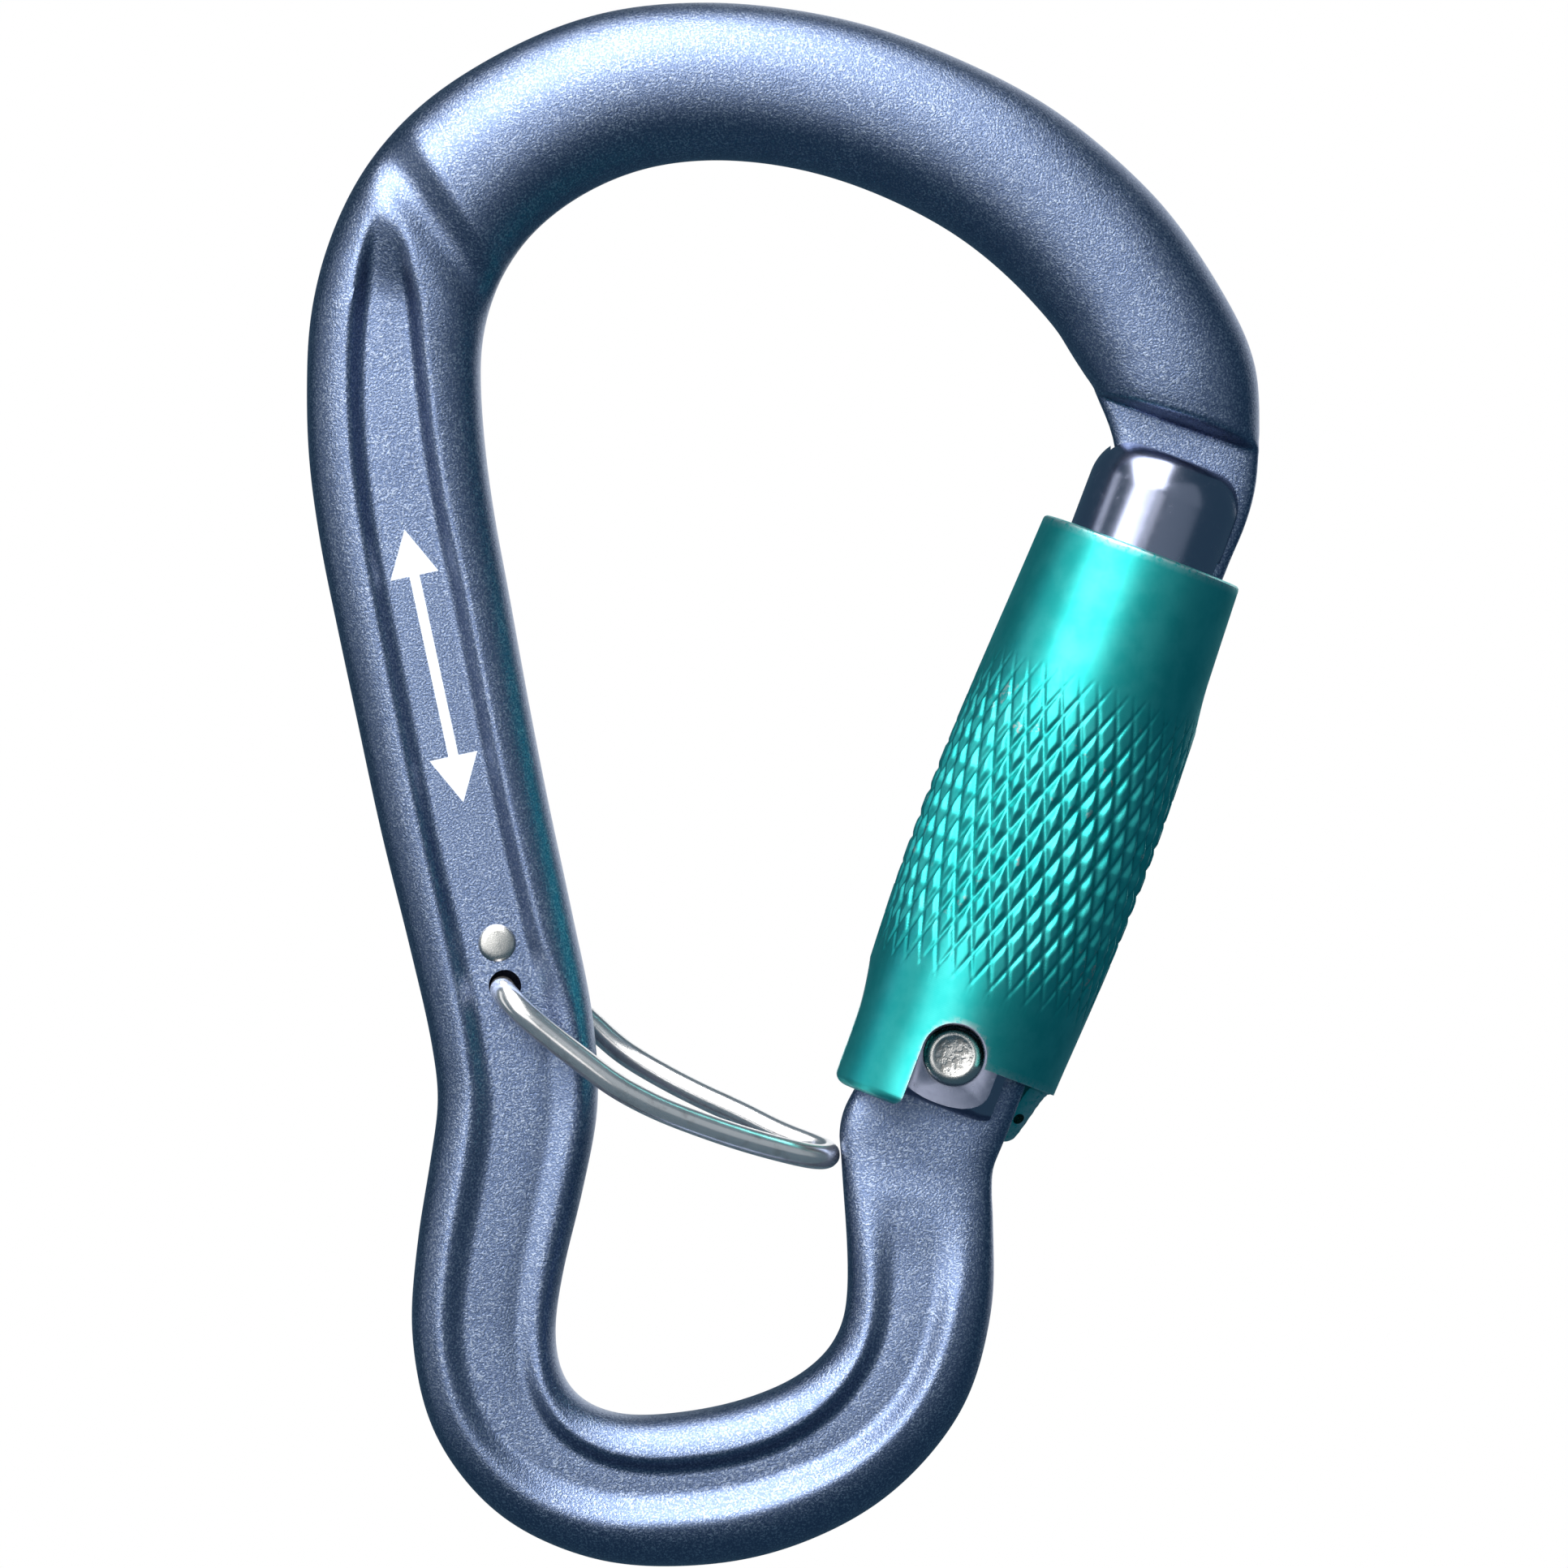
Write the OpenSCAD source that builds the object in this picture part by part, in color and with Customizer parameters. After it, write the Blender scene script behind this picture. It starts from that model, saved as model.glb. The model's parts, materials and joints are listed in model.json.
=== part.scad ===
// Locking carabiner with a spring sleeve and a wire keeper, all sizes in mm.
// Frame of the row: +Z up the long axis, +X to the gate side, front face towards -Y.
// Origin: the inner apex of the top basket, where the rope sits, on the mid-plane.

/* [Frame bar] */
// thickness of the round bar in the top basket, front to back
bar_t = 10.4; // [8:0.1:13]
// thickness of the I-beam spine, front to back
spine_t = 9.4; // [7:0.1:12]
// depth of the milled recess on each face of the spine
recess_d = 1.5; // [0:0.1:2.5]
// half thickness of the flat lug that the gate hinges on
lug_h = 2.4; // [1.8:0.1:3]
// radius round the rivet in which the lug is flat
lug_flat_r = 9.5; // [9.2:0.1:11]

/* [Gate] */
// distance of the rivet right of the origin
pivot_x = 17.4; // [14:0.1:20]
// distance of the rivet below the origin
pivot_z = -67.6; // [-72:0.1:-64]
// lean of the gate from the vertical
gate_lean = 20.8; // [15:0.1:26]
// radius of the gate barrel
gate_r = 5.9; // [5:0.05:6.2]
// length of the gate above the rivet
gate_top = 48.1; // [45:0.1:49]
// opening angle of the gate, kept for the record
gate_open = 27; // [15:1:30]

/* [Sleeve] */
// bore of the sleeve, radius
bore_r = 6.7; // [6.5:0.05:6.8]
// radius of the sleeve at the top rim
rim_r = 7.97; // [7.6:0.01:8.2]
// radius of the sleeve at its belly
belly_r = 8.86; // [8.4:0.01:9.2]
// radius of the sleeve near the bottom
foot_r = 8.15; // [7.8:0.01:8.4]
// height of the top rim over the rivet
sleeve_top = 40.6; // [38:0.1:42]
// how far the long side reaches below the rivet
sleeve_low = 5.0; // [4:0.1:5.4]
// running clearance of the guide lands, radial
run_gap = 0.05; // [0.02:0.01:0.1]

/* [Rivet and plunger] */
// radius of the rivet shank
rivet_r = 1.9; // [1.5:0.05:2.2]
// radius of the domed rivet head
head_r = 2.4; // [2.2:0.05:2.45]
// radius of the plunger foot
foot_ball = 1.25; // [1:0.05:1.4]
// lift of the tang's cam per radian of gate opening
cam_lift = 1.5; // [1:0.1:2]
// radius of the tang's cam below the closed plunger
cam_r = 4.4; // [4:0.1:4.6]

/* [Keeper wire] */
// wire radius
wire_r = 0.95; // [0.7:0.05:1.2]
// radius of the two holes in the spine that the wire ends sit in
wire_hole_r = 1.42; // [1.4:0.02:1.6]

/* [Hidden] */
$fn = 48;
knife = 0.01;

// Bar stations from the nose round to the lug: x, z, width, thickness, squareness, recess.
bar = [
  [33.2, -24.0, 11.8, 9.6, 2.3, 0],
  [34.1, -19.8, 12.0, 9.8, 2.3, 0],
  [33.6, -15.6, 12.2, bar_t, 2.3, 0],
  [29.9, -9.4, 12.1, bar_t, 2.3, 0],
  [25.8, -4.9, 12.0, bar_t, 2.2, 0],
  [21.4, -1.3, 11.9, bar_t, 2.2, 0],
  [15.3, 2.2, 11.8, bar_t, 2.2, 0],
  [9.0, 4.5, 11.8, bar_t, 2.2, 0],
  [4.0, 5.5, 11.8, bar_t, 2.2, 0],
  [-0.7, 5.85, 11.9, bar_t, 2.2, 0],
  [-7.6, 5.1, 12.2, bar_t, 2.2, 0],
  [-14.1, 2.4, 12.4, bar_t, 2.3, 0],
  [-19.2, -1.4, 12.9, bar_t, 2.4, 0],
  [-22.5, -6.0, 13.1, spine_t + 0.4, 2.7, 0.35],
  [-24.2, -10.6, 13.1, spine_t + 0.2, 3.0, 1],
  [-24.8, -15.6, 13.1, spine_t, 3.2, 1],
  [-24.6, -21.7, 13.3, spine_t, 3.2, 1],
  [-23.8, -27.8, 13.3, spine_t, 3.2, 1],
  [-22.6, -34.0, 13.2, spine_t, 3.2, 1],
  [-21.4, -40.1, 13.0, spine_t, 3.2, 1],
  [-19.5, -49.4, 12.8, spine_t, 3.2, 1],
  [-17.4, -58.5, 12.5, spine_t, 3.2, 0.8],
  [-15.8, -66.2, 12.3, spine_t, 3.2, 0.8],
  [-15.4, -70.9, 12.1, spine_t, 3.0, 0.9],
  [-16.3, -76.8, 11.7, spine_t, 3.0, 1],
  [-17.5, -82.9, 11.2, spine_t, 3.0, 1],
  [-18.0, -89.0, 10.8, spine_t, 3.0, 1],
  [-16.8, -94.2, 10.7, spine_t, 3.0, 1],
  [-13.7, -98.0, 10.8, spine_t, 3.0, 1],
  [-9.1, -100.1, 11.1, spine_t, 3.0, 1],
  [-2.7, -100.4, 11.6, spine_t, 3.0, 1],
  [3.7, -99.1, 11.7, spine_t, 3.0, 1],
  [9.6, -96.0, 11.3, spine_t, 3.0, 1],
  [13.5, -91.4, 11.0, spine_t - 0.2, 3.0, 1],
  [14.9, -86.0, 10.9, spine_t - 1.0, 3.2, 0.8],
  [14.9, -80.3, 11.0, 6.0, 3.8, 0],
  [14.8, -76.4, 11.4, 2 * lug_h, 4.2, 0],
  [15.6, -73.0, 11.8, 2 * lug_h, 4.2, 0]];

// Catmull-Rom point number i + t of a list of stations
function mix4(a, b, c, d, t) =
  0.5 * (2 * b + (c - a) * t + (2 * a - 5 * b + 4 * c - d) * t * t
    + (3 * b - a - 3 * c + d) * t * t * t);
function at(l, i, t) = let (n = len(l) - 1)
  mix4(l[max(i - 1, 0)], l[i], l[min(i + 1, n)], l[min(i + 2, n)], t);
function sg(v) = v < 0 ? -1 : 1;
function soft(v) = let (c = min(max(v, 0), 1)) c * c * (3 - 2 * c);
// one outline point of the bar: s is the station, a the angle, nx nz the in-plane normal
function rim_pt(s, a, nx, nz) =
  let (cu = cos(a), cv = sin(a), e = 2 / s[4],
    u = s[2] / 2 * sg(cu) * pow(abs(cu), e),
    v0 = s[3] / 2 * sg(cv) * pow(abs(cv), e),
    dip = s[5] * recess_d * soft((3.9 - abs(u + 0.2)) / 0.9),
    v = v0 - sg(v0) * min(dip, abs(v0)))
  [s[0] + nx * u, v, s[1] + nz * u];

module sweep_bar(sub = 1, m = 40) {
  n = (len(bar) - 1) * sub;
  ring = [for (k = [0:n]) at(bar, min(floor(k / sub), len(bar) - 2),
    k / sub - min(floor(k / sub), len(bar) - 2))];
  pts = [for (k = [0:n]) let (
      p = ring[max(k - 1, 0)], q = ring[min(k + 1, n)],
      dx = q[0] - p[0], dz = q[1] - p[1], l = sqrt(dx * dx + dz * dz),
      nx = dz / l, nz = -dx / l)
    for (j = [0:m - 1]) rim_pt(ring[k], 360 * (j + 0.5) / m, nx, nz)];
  sides = [for (k = [0:n - 1]) for (j = [0:m - 1])
    let (a = k * m + j, b = k * m + (j + 1) % m)
      each [[a, b + m, b], [a, a + m, b + m]]];
  polyhedron(pts, concat(sides, [for (j = [1:m - 2]) [0, j, j + 1]],
    [for (j = [1:m - 2]) [n * m, n * m + j + 1, n * m + j]]), convexity = 8);
}

// place in the gate's own frame: +Z along the gate, +X outwards
module on_gate() {
  translate([pivot_x, 0, pivot_z]) rotate([0, gate_lean, 0]) children();
}
// a flat plate from an outline in x and z, centred on the mid-plane
module plate(outline, t) {
  rotate([90, 0, 0]) linear_extrude(t, center = true) polygon(outline);
}

// the lug that carries the rivet, with its cam for the plunger, in the gate's frame
module tang() {
  cam = [for (a = [68:3:125]) let (r = cam_r + cam_lift * max(0, a - 90) * PI / 180)
    [r * cos(a), r * sin(a)]];
  plate(concat([[-2.9, -14.3], [6.9, -10.4], [6.2, -8.6], [5.75, -7.0], [5.95, -4.3],
    [5.95, -0.6], [5.7, 1.2], [4.9, 2.8], [3.4, 3.9]], cam,
    [[-4.6, 2.9], [-5.2, 1.2], [-5.3, -1.5], [-5.75, -3.6], [-6.05, -5.2],
     [-6.2, -7.3], [-5.9, -8.7], [-5.2, -10.1], [-4.4, -11.6]]), 2 * lug_h);
}

// the nose: a thin neck between the gate's cheeks, and the wider key at its end
module nose() {
  plate([[3.5, 53], [4.6, 51.4], [5.3, 50.0], [5.95, 48.7], [6.25, 47.0], [6.35, 45.2],
    [6.3, 42.5], [6.25, 40.0], [-3.2, 40.0], [-3.4, 42.3], [-4.2, 45.0], [-5.0, 47.6],
    [-6.4, 49.6], [-7.2, 50.4], [-7.4, 53]], 3.2);
  plate(concat([for (x = [-2.4:1.2:4.8]) [x, sqrt(34.2 * 34.2 - x * x)]],
    [[5.9, 34.1], [6.25, 34.9]],
    [for (x = [6.25, 5, 3, 1, -1, -3.2]) [x, sqrt(41.8 * 41.8 - x * x)]],
    [[-3.4, 35.2], [-3.1, 34.5]]), 4.3);
}

module frame() color([0.30, 0.36, 0.45]) {
  difference() {
    union() {
      difference() {
        sweep_bar();
        // flat on both faces of the lug, and the nose end cut square to the gate
        for (s = [-1, 1]) translate([pivot_x, s * (lug_h + 5), pivot_z])
          rotate([90, 0, 0]) cylinder(r = lug_flat_r, h = 10, center = true, $fn = 96);
        on_gate() translate([-20, -10, 40]) cube([40, 20, 10.5]);
      }
      on_gate() tang();
      on_gate() nose();
    }
    // rivet bore
    translate([pivot_x, 0, pivot_z]) rotate([90, 0, 0])
      cylinder(r = rivet_r + 0.05, h = 20, center = true);
    // the two holes of the keeper wire, one from each face
    translate([-16.69, 0, -62.32]) rotate([90, 0, 0]) cylinder(r = wire_hole_r, h = 12);
    translate([-16.66, 0, -59.19]) rotate([-90, 0, 0]) cylinder(r = wire_hole_r, h = 12);
  }
}

module gate() color([0.25, 0.33, 0.47]) on_gate() difference() {
  union() {
    rotate_extrude($fn = 96) {
      square([gate_r, gate_top - 2.2]);
      translate([0, -4.3]) square([gate_r, 5]);
      translate([0, gate_top - 3]) square([gate_r - 2.2, 3]);
      translate([gate_r - 2.2, gate_top - 2.2]) circle(r = 2.2, $fn = 64);
      // the two lands that guide the sleeve
      translate([0, 7.2]) square([bore_r - run_gap, 3.6]);
      translate([0, 29.2]) square([bore_r - run_gap, 3.8]);
    }
  }
  // flats of the two cheeks
  for (s = [-1, 1]) {
    translate([s * 9.3 - 5, -10, -6]) cube([10, 20, 9.4]);
    translate([-10, s * 9.7 - 5, -6]) cube([20, 10, 9.4]);
  }
  // bevels round the lower end of the cheeks
  for (s = [-1, 1]) translate([0, s * 4.7, -4.3]) rotate([45, 0, 0])
    cube([20, 1.5, 1.5], center = true);
  // slot of the lug
  translate([-10, -lug_h - 0.1, -6]) cube([20, 2 * lug_h + 0.2, 12.3]);
  // keyed slot of the nose: narrow mouth over a wider pocket, both round the rivet
  intersection() {
    rotate([90, 0, 0]) difference() {
      cylinder(r = 42.1, h = 4.6, center = true, $fn = 180);
      cylinder(r = 33.9, h = 5, center = true, $fn = 180);
    }
    translate([-3.8, -3, 30]) cube([12, 6, 14]);
  }
  plate([[8, 41], [8, 49], [-5.8, 49], [-5.3, 47.6], [-4.6, 45.0], [-3.8, 42.3],
    [-3.8, 41]], 3.5);
  // groove of the retaining ring
  translate([0, 0, 30.7]) rotate_extrude($fn = 72)
    translate([6.28, 0]) square([1, 0.8]);
  // bore of the plunger and its spring, with the narrow guide below
  translate([0, 0, 9.2]) cylinder(r = 1.95, h = 17.6);
  translate([0, 0, 5]) cylinder(r = 1.3, h = 5);
  // rivet holes, and the hole of the stop pin at the back
  rotate([90, 0, 0]) cylinder(r = rivet_r, h = 20, center = true);
  translate([0, 2.6, 9]) rotate([-90, 0, 0]) cylinder(r = 0.8, h = 8);
}

module gate_rivet() color([0.72, 0.71, 0.69]) {
  dome = [[rivet_r, 4.7], [head_r - 0.15, 4.7], [head_r, 4.9], [head_r, 5.2],
    [head_r - 0.12, 5.6], [head_r - 0.45, 5.95], [head_r - 0.9, 6.15], [0, 6.2]];
  translate([pivot_x, 0, pivot_z]) rotate([90, 0, 0]) rotate_extrude()
    polygon(concat([for (k = [7:-1:0]) [dome[k][0], -dome[k][1]]], dome));
}

// rod and shoulder that the gate spring pushes on to the cam of the lug
module gate_plunger() color([0.76, 0.75, 0.72]) on_gate() {
  translate([0, 0, cam_r + 0.12 + foot_ball]) {
    intersection() {
      sphere(r = foot_ball);
      translate([-3, -3, -3]) cube([6, 6, 3]);
    }
    translate([0, 0, -knife]) cylinder(r = foot_ball, h = 4.4);
    translate([0, 0, 4.2]) cylinder(r = 1.85, h = 0.9);
    translate([0, 0, 5]) cylinder(r = 0.85, h = 3.4);
  }
}

// round wire along a helix, with the last turn at each end closed flat
module coil(r, wire, z0, z1, turns, steps = 14, m = 6) {
  n = round(turns * steps);
  // height along the coil: the end turns are closed, the rest is even
  function up(k) = let (t = k / steps, e = turns - 1, w = 2.15 * wire)
    t < 0.5 ? z0 + w * t : t > turns - 0.5 ? z1 - w * (turns - t)
    : z0 + w * 0.5 + (z1 - z0 - w) * (t - 0.5) / e;
  pts = [for (k = [0:n]) let (a = 360 * k / steps)
    for (j = [0:m - 1]) let (b = 360 * j / m, q = r + wire * cos(b))
      [q * cos(a), q * sin(a), up(k) + wire * sin(b)]];
  polyhedron(pts, concat(
    [for (k = [0:n - 1]) for (j = [0:m - 1]) let (a = k * m + j, b = k * m + (j + 1) % m)
      each [[a, b + m, b], [a, a + m, b + m]]],
    [[for (j = [0:m - 1]) j]], [[for (j = [m - 1:-1:0]) n * m + j]]), convexity = 10);
}

module gate_spring() color([0.62, 0.62, 0.64]) on_gate()
  coil(1.42, 0.3, cam_r + foot_ball + 5.55, 26.45, 9);

module sleeve_torsion_spring() color([0.62, 0.62, 0.64]) on_gate()
  coil(6.3, 0.28, 11.4, 28.8, 8, 18);

module sleeve_retaining_ring() color([0.62, 0.62, 0.64]) on_gate()
  translate([0, 0, 31.1]) rotate([0, 0, 200]) rotate_extrude(angle = 320, $fn = 72)
    translate([6.66, 0]) circle(r = 0.36, $fn = 20);

module sleeve_stop_pin() color([0.76, 0.75, 0.72]) on_gate()
  translate([0, 2.6, 9]) rotate([-90, 0, 0]) cylinder(r = 0.8, h = 4.7, $fn = 32);

// wedge from angle a to b, clear of the axis, for cuts in the sleeve wall
module sector(a, b, r, z, h) {
  translate([0, 0, z]) rotate([0, 0, a]) rotate_extrude(angle = b - a, $fn = 72)
    translate([4, 0]) square([r - 4, h]);
}

module sleeve() color([0.0, 0.62, 0.62]) on_gate() difference() {
  rotate_extrude($fn = 120) polygon([[bore_r, -sleeve_low], [foot_r - 0.4, -sleeve_low],
    [foot_r - 0.12, -sleeve_low + 0.15], [foot_r, -sleeve_low + 0.5], [8.22, 0],
    [8.45, 4.5], [8.7, 9.5], [8.82, 13.5], [belly_r, 17.2], [8.82, 21.0], [8.68, 25.5],
    [8.46, 30.5], [8.2, 36.0], [rim_r + 0.04, sleeve_top - 0.5],
    [rim_r - 0.2, sleeve_top], [bore_r, sleeve_top]]);
  // slot that lets the nose out, and the one that lets the lug's shoulder through
  translate([4, -2.4, 32.7]) cube([8, 4.8, 10]);
  translate([-12, -lug_h - 0.2, -8]) cube([8, 2 * lug_h + 0.4, 8.6]);
  // round notches over the two rivet heads
  for (s = [-1, 1]) {
    rotate([s * 90, 0, 0]) cylinder(r = 2.6, h = 12);
    translate([-2.6, s * 8 - 4, -8]) cube([5.2, 8, 8]);
  }
  // lower edge: short on the outer front, long on the inner side and the back
  sector(-75, 33, 12, -8, 7.9);
  sector(28, 38, 12, -8, 4.4);
  // groove of the retaining ring, and the arc that the stop pin runs in
  translate([0, 0, 30.6]) rotate_extrude($fn = 120) translate([6, 0]) square([1.1, 1.0]);
  translate([0, 0, 8.1]) rotate([0, 0, -7]) rotate_extrude(angle = 104, $fn = 120)
    translate([6, 0]) square([1.45, 1.8]);
  // small hole in the tail for the end of the torsion spring
  rotate([0, 0, 52]) translate([0, 0, -2.6]) rotate([0, 90, 0]) cylinder(r = 0.45, h = 12);
}

// round wire through the points of a bent path that keeps roughly square to the vector up
module bent_wire(path, r, up, sub = 3, m = 16) {
  n = (len(path) - 1) * sub;
  line = [for (k = [0:n]) let (i = min(floor(k / sub), len(path) - 2))
    at(path, i, k / sub - i)];
  pts = [for (k = [0:n]) let (
      d = line[min(k + 1, n)] - line[max(k - 1, 0)], t = d / norm(d),
      b0 = cross(t, up), b = b0 / norm(b0), c = cross(b, t))
    for (j = [0:m - 1]) let (a = 360 * j / m) line[k] + r * (cos(a) * b + sin(a) * c)];
  polyhedron(pts, concat(
    [for (k = [0:n - 1]) for (j = [0:m - 1]) let (a = k * m + j, b = k * m + (j + 1) % m)
      each [[a, b, b + m], [a, b + m, a + m]]],
    [[for (j = [m - 1:-1:0]) j]], [[for (j = [0:m - 1]) n * m + j]]), convexity = 8);
}

// one bent wire: each end sits in its own hole of the spine, so it springs back up
module keeper_wire() color([0.72, 0.71, 0.69])
  bent_wire([[-16.35, -2.4, -62.3], [-16.35, -4.6, -62.3], [-15.9, -5.75, -62.8],
    [-13.6, -5.95, -65.1], [-10.4, -5.8, -68.1], [-5.3, -5.2, -71.5], [-1.6, -4.5, -73.0],
    [3.0, -3.2, -74.4], [6.6, -1.75, -75.3], [7.6, -1.0, -75.35], [7.85, 0, -75.1],
    [7.4, 1.0, -74.8], [6.3, 1.75, -74.3], [1.7, 3.6, -72.4], [-4.9, 5.2, -69.2],
    [-9.7, 5.8, -65.5], [-14.3, 5.95, -61.5], [-16.6, 5.75, -59.6], [-17.0, 4.6, -59.2],
    [-17.0, 2.4, -59.2]], wire_r, [0.6, 0, 0.8]);

frame();
gate();
gate_rivet();
gate_plunger();
gate_spring();
sleeve();
sleeve_torsion_spring();
sleeve_retaining_ring();
sleeve_stop_pin();
keeper_wire();
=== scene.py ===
# Locking carabiner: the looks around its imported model.
# Lengths here are in mm in the row frame, and become metres as each mesh is made.
import json
import math

import bmesh
import bpy
import numpy as np
from mathutils import Matrix, Vector
from mathutils.kdtree import KDTree


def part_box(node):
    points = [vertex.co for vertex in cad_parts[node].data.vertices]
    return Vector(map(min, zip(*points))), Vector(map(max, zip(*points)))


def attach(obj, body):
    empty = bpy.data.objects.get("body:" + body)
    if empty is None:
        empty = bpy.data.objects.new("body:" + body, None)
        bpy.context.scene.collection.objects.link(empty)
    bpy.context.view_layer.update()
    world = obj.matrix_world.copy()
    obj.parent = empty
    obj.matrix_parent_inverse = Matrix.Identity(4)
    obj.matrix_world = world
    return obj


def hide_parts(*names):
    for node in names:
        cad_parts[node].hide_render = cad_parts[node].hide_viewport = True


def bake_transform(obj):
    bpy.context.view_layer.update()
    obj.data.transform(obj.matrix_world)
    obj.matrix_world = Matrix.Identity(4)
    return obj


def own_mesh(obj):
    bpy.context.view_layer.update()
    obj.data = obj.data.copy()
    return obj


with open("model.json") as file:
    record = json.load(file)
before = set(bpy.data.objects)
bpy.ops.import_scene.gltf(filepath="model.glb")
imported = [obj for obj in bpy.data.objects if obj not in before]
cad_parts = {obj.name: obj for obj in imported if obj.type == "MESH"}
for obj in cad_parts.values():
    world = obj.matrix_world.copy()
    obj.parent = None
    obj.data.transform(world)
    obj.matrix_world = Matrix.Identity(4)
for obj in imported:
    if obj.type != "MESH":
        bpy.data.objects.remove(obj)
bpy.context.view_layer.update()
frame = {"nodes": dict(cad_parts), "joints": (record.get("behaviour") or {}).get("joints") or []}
mm = 0.001
print("packed model loaded:", len(frame["nodes"]), "nodes")


# the gate's own frame: x outwards, y to the back, z up along the gate

joints = {j["name"]: j for j in frame["joints"]}
alongGate = Vector(joints["sleeve_twist"]["axis"]).normalized()
acrossGate = Vector((alongGate.z, 0, -alongGate.x))
rivetLow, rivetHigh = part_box("gate_rivet")
pivot = (rivetLow + rivetHigh) / 2 / mm
gateToRow = Matrix((acrossGate, Vector((0, 1, 0)), alongGate)).transposed().to_4x4()
gateToRow.translation = pivot
# the keeper wire's holes, front and back, in x and z
keeperHoles = ((-16.35, -62.4), (-16.95, -59.15))


def fromGate(points):
    turn = np.array(gateToRow.to_3x3())
    return np.asarray(points, float) @ turn.T + np.array(pivot)


# node trees

class Value:
    # an output socket that takes part in plain arithmetic
    def __init__(self, sketch, socket):
        self.sketch, self.socket = sketch, socket

    def math(self, operation, *others):
        terms = dict(enumerate((self,) + others))
        return self.sketch.add("ShaderNodeMath", {"operation": operation}, terms)

    def __add__(self, other):
        return self.math("ADD", other)

    def __sub__(self, other):
        return self.math("SUBTRACT", other)

    def __rsub__(self, other):
        terms = {0: other, 1: self}
        return self.sketch.add("ShaderNodeMath", {"operation": "SUBTRACT"}, terms)

    def __mul__(self, other):
        return self.math("MULTIPLY", other)

    def __truediv__(self, other):
        return self.math("DIVIDE", other)

    def __abs__(self):
        return self.math("ABSOLUTE")

    __radd__ = __add__
    __rmul__ = __mul__

    def soft(self, low, high):
        # 0 up to low and 1 from high, or the other way round when low is the larger
        flip = low > high
        ends = {"From Min": min(low, high), "From Max": max(low, high)}
        ends.update({"To Min": float(flip), "To Max": 1.0 - flip, "Value": self})
        return self.sketch.add(
            "ShaderNodeMapRange", {"interpolation_type": "SMOOTHSTEP"}, ends
        )


class Sketch:
    # adds nodes to one tree
    def __init__(self, tree):
        self.tree = tree

    def add(self, kind, settings=None, sockets=None, output=0):
        node = self.tree.nodes.new(kind)
        for key, value in (settings or {}).items():
            setattr(node, key, value)
        for key, value in (sockets or {}).items():
            if isinstance(value, Value):
                self.tree.links.new(value.socket, node.inputs[key])
            else:
                node.inputs[key].default_value = value
        return Value(self, node.outputs[output]) if len(node.outputs) else node

    def blendColour(self, first, second, share):
        rows = {0: share, 6: first, 7: second}
        return self.add("ShaderNodeMix", {"data_type": "RGBA"}, rows, 2)

    def split(self, vector):
        node = self.add("ShaderNodeSeparateXYZ", None, {0: vector}).socket.node
        return [Value(self, output) for output in node.outputs]

    def dot(self, vector, direction):
        rows = {0: vector, 1: tuple(direction)}
        return self.add("ShaderNodeVectorMath", {"operation": "DOT_PRODUCT"}, rows, 1)

    def noise(self, place, scale, detail=2.0, rough=0.5):
        rows = {"Vector": place, "Scale": scale, "Detail": detail, "Roughness": rough}
        return self.add("ShaderNodeTexNoise", None, rows)


# mesh helpers

def newMesh(name, points, faces):
    mesh = bpy.data.meshes.new(name)
    mesh.from_pydata((np.asarray(points, float) * mm).tolist(), [], faces)
    work = bmesh.new()
    work.from_mesh(mesh)
    bmesh.ops.remove_doubles(work, verts=work.verts, dist=1e-7)
    bmesh.ops.recalc_face_normals(work, faces=work.faces)
    work.to_mesh(mesh)
    work.free()
    piece = bpy.data.objects.new(name, mesh)
    bpy.context.scene.collection.objects.link(piece)
    return piece


def skinRings(name, rings, capped=True):
    # rings: one row of points for each ring, in mm; capped closes both ends
    count, around = rings.shape[:2]
    start = np.arange(count - 1)[:, None] * around
    here = np.arange(around)[None, :]
    a, b = start + here, start + (here + 1) % around
    faces = np.stack([a, b, b + around, a + around], -1).reshape(-1, 4).tolist()
    if capped:
        faces.append(list(range(around)))
        faces.append(list(range((count - 1) * around, count * around)))
    return newMesh(name, rings.reshape(-1, 3), faces)


def turned(name, outline, steps=96):
    # outline: radius and height of a closed turned shape, in the gate's frame
    angle = np.linspace(0, 2 * math.pi, steps, endpoint=False)
    outline = np.asarray(outline, float)
    r, z = outline[:, 0][:, None], outline[:, 1][:, None]
    rings = np.stack([r * np.cos(angle), r * np.sin(angle), z + 0 * angle], -1)
    return skinRings(name, rings)


def prism(name, outline, depth, turn=None):
    # outline in x and z, pushed through from y = depth[0] to y = depth[1]
    outline = np.asarray(outline, float)
    rings = np.stack(
        [np.insert(outline, 1, y, axis=1) for y in (depth[0], depth[1])]
    )
    piece = skinRings(name, rings)
    if turn:
        piece.data.transform(turn)
    return piece


def arc(centre, radius, first, last, steps=12):
    angle = np.radians(np.linspace(first, last, steps))
    return [
        (centre[0] + radius * math.cos(a), centre[1] + radius * math.sin(a))
        for a in angle
    ]


def circle(centre, radius, steps=48):
    return arc(centre, radius, 0, 360 - 360 / steps, steps)


def toRow(piece, place=gateToRow):
    # moves a mesh drawn in the gate's frame to where the gate is
    inMetres = place.copy()
    inMetres.translation = place.translation * mm
    piece.data.transform(inMetres)
    piece.data.update()
    return piece


def cut(piece, *cutters):
    for cutter in cutters:
        step = piece.modifiers.new("cut", "BOOLEAN")
        step.operation, step.solver, step.object = "DIFFERENCE", "EXACT", cutter
    applyModifiers(piece)
    for cutter in cutters:
        bpy.data.meshes.remove(cutter.data)


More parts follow.
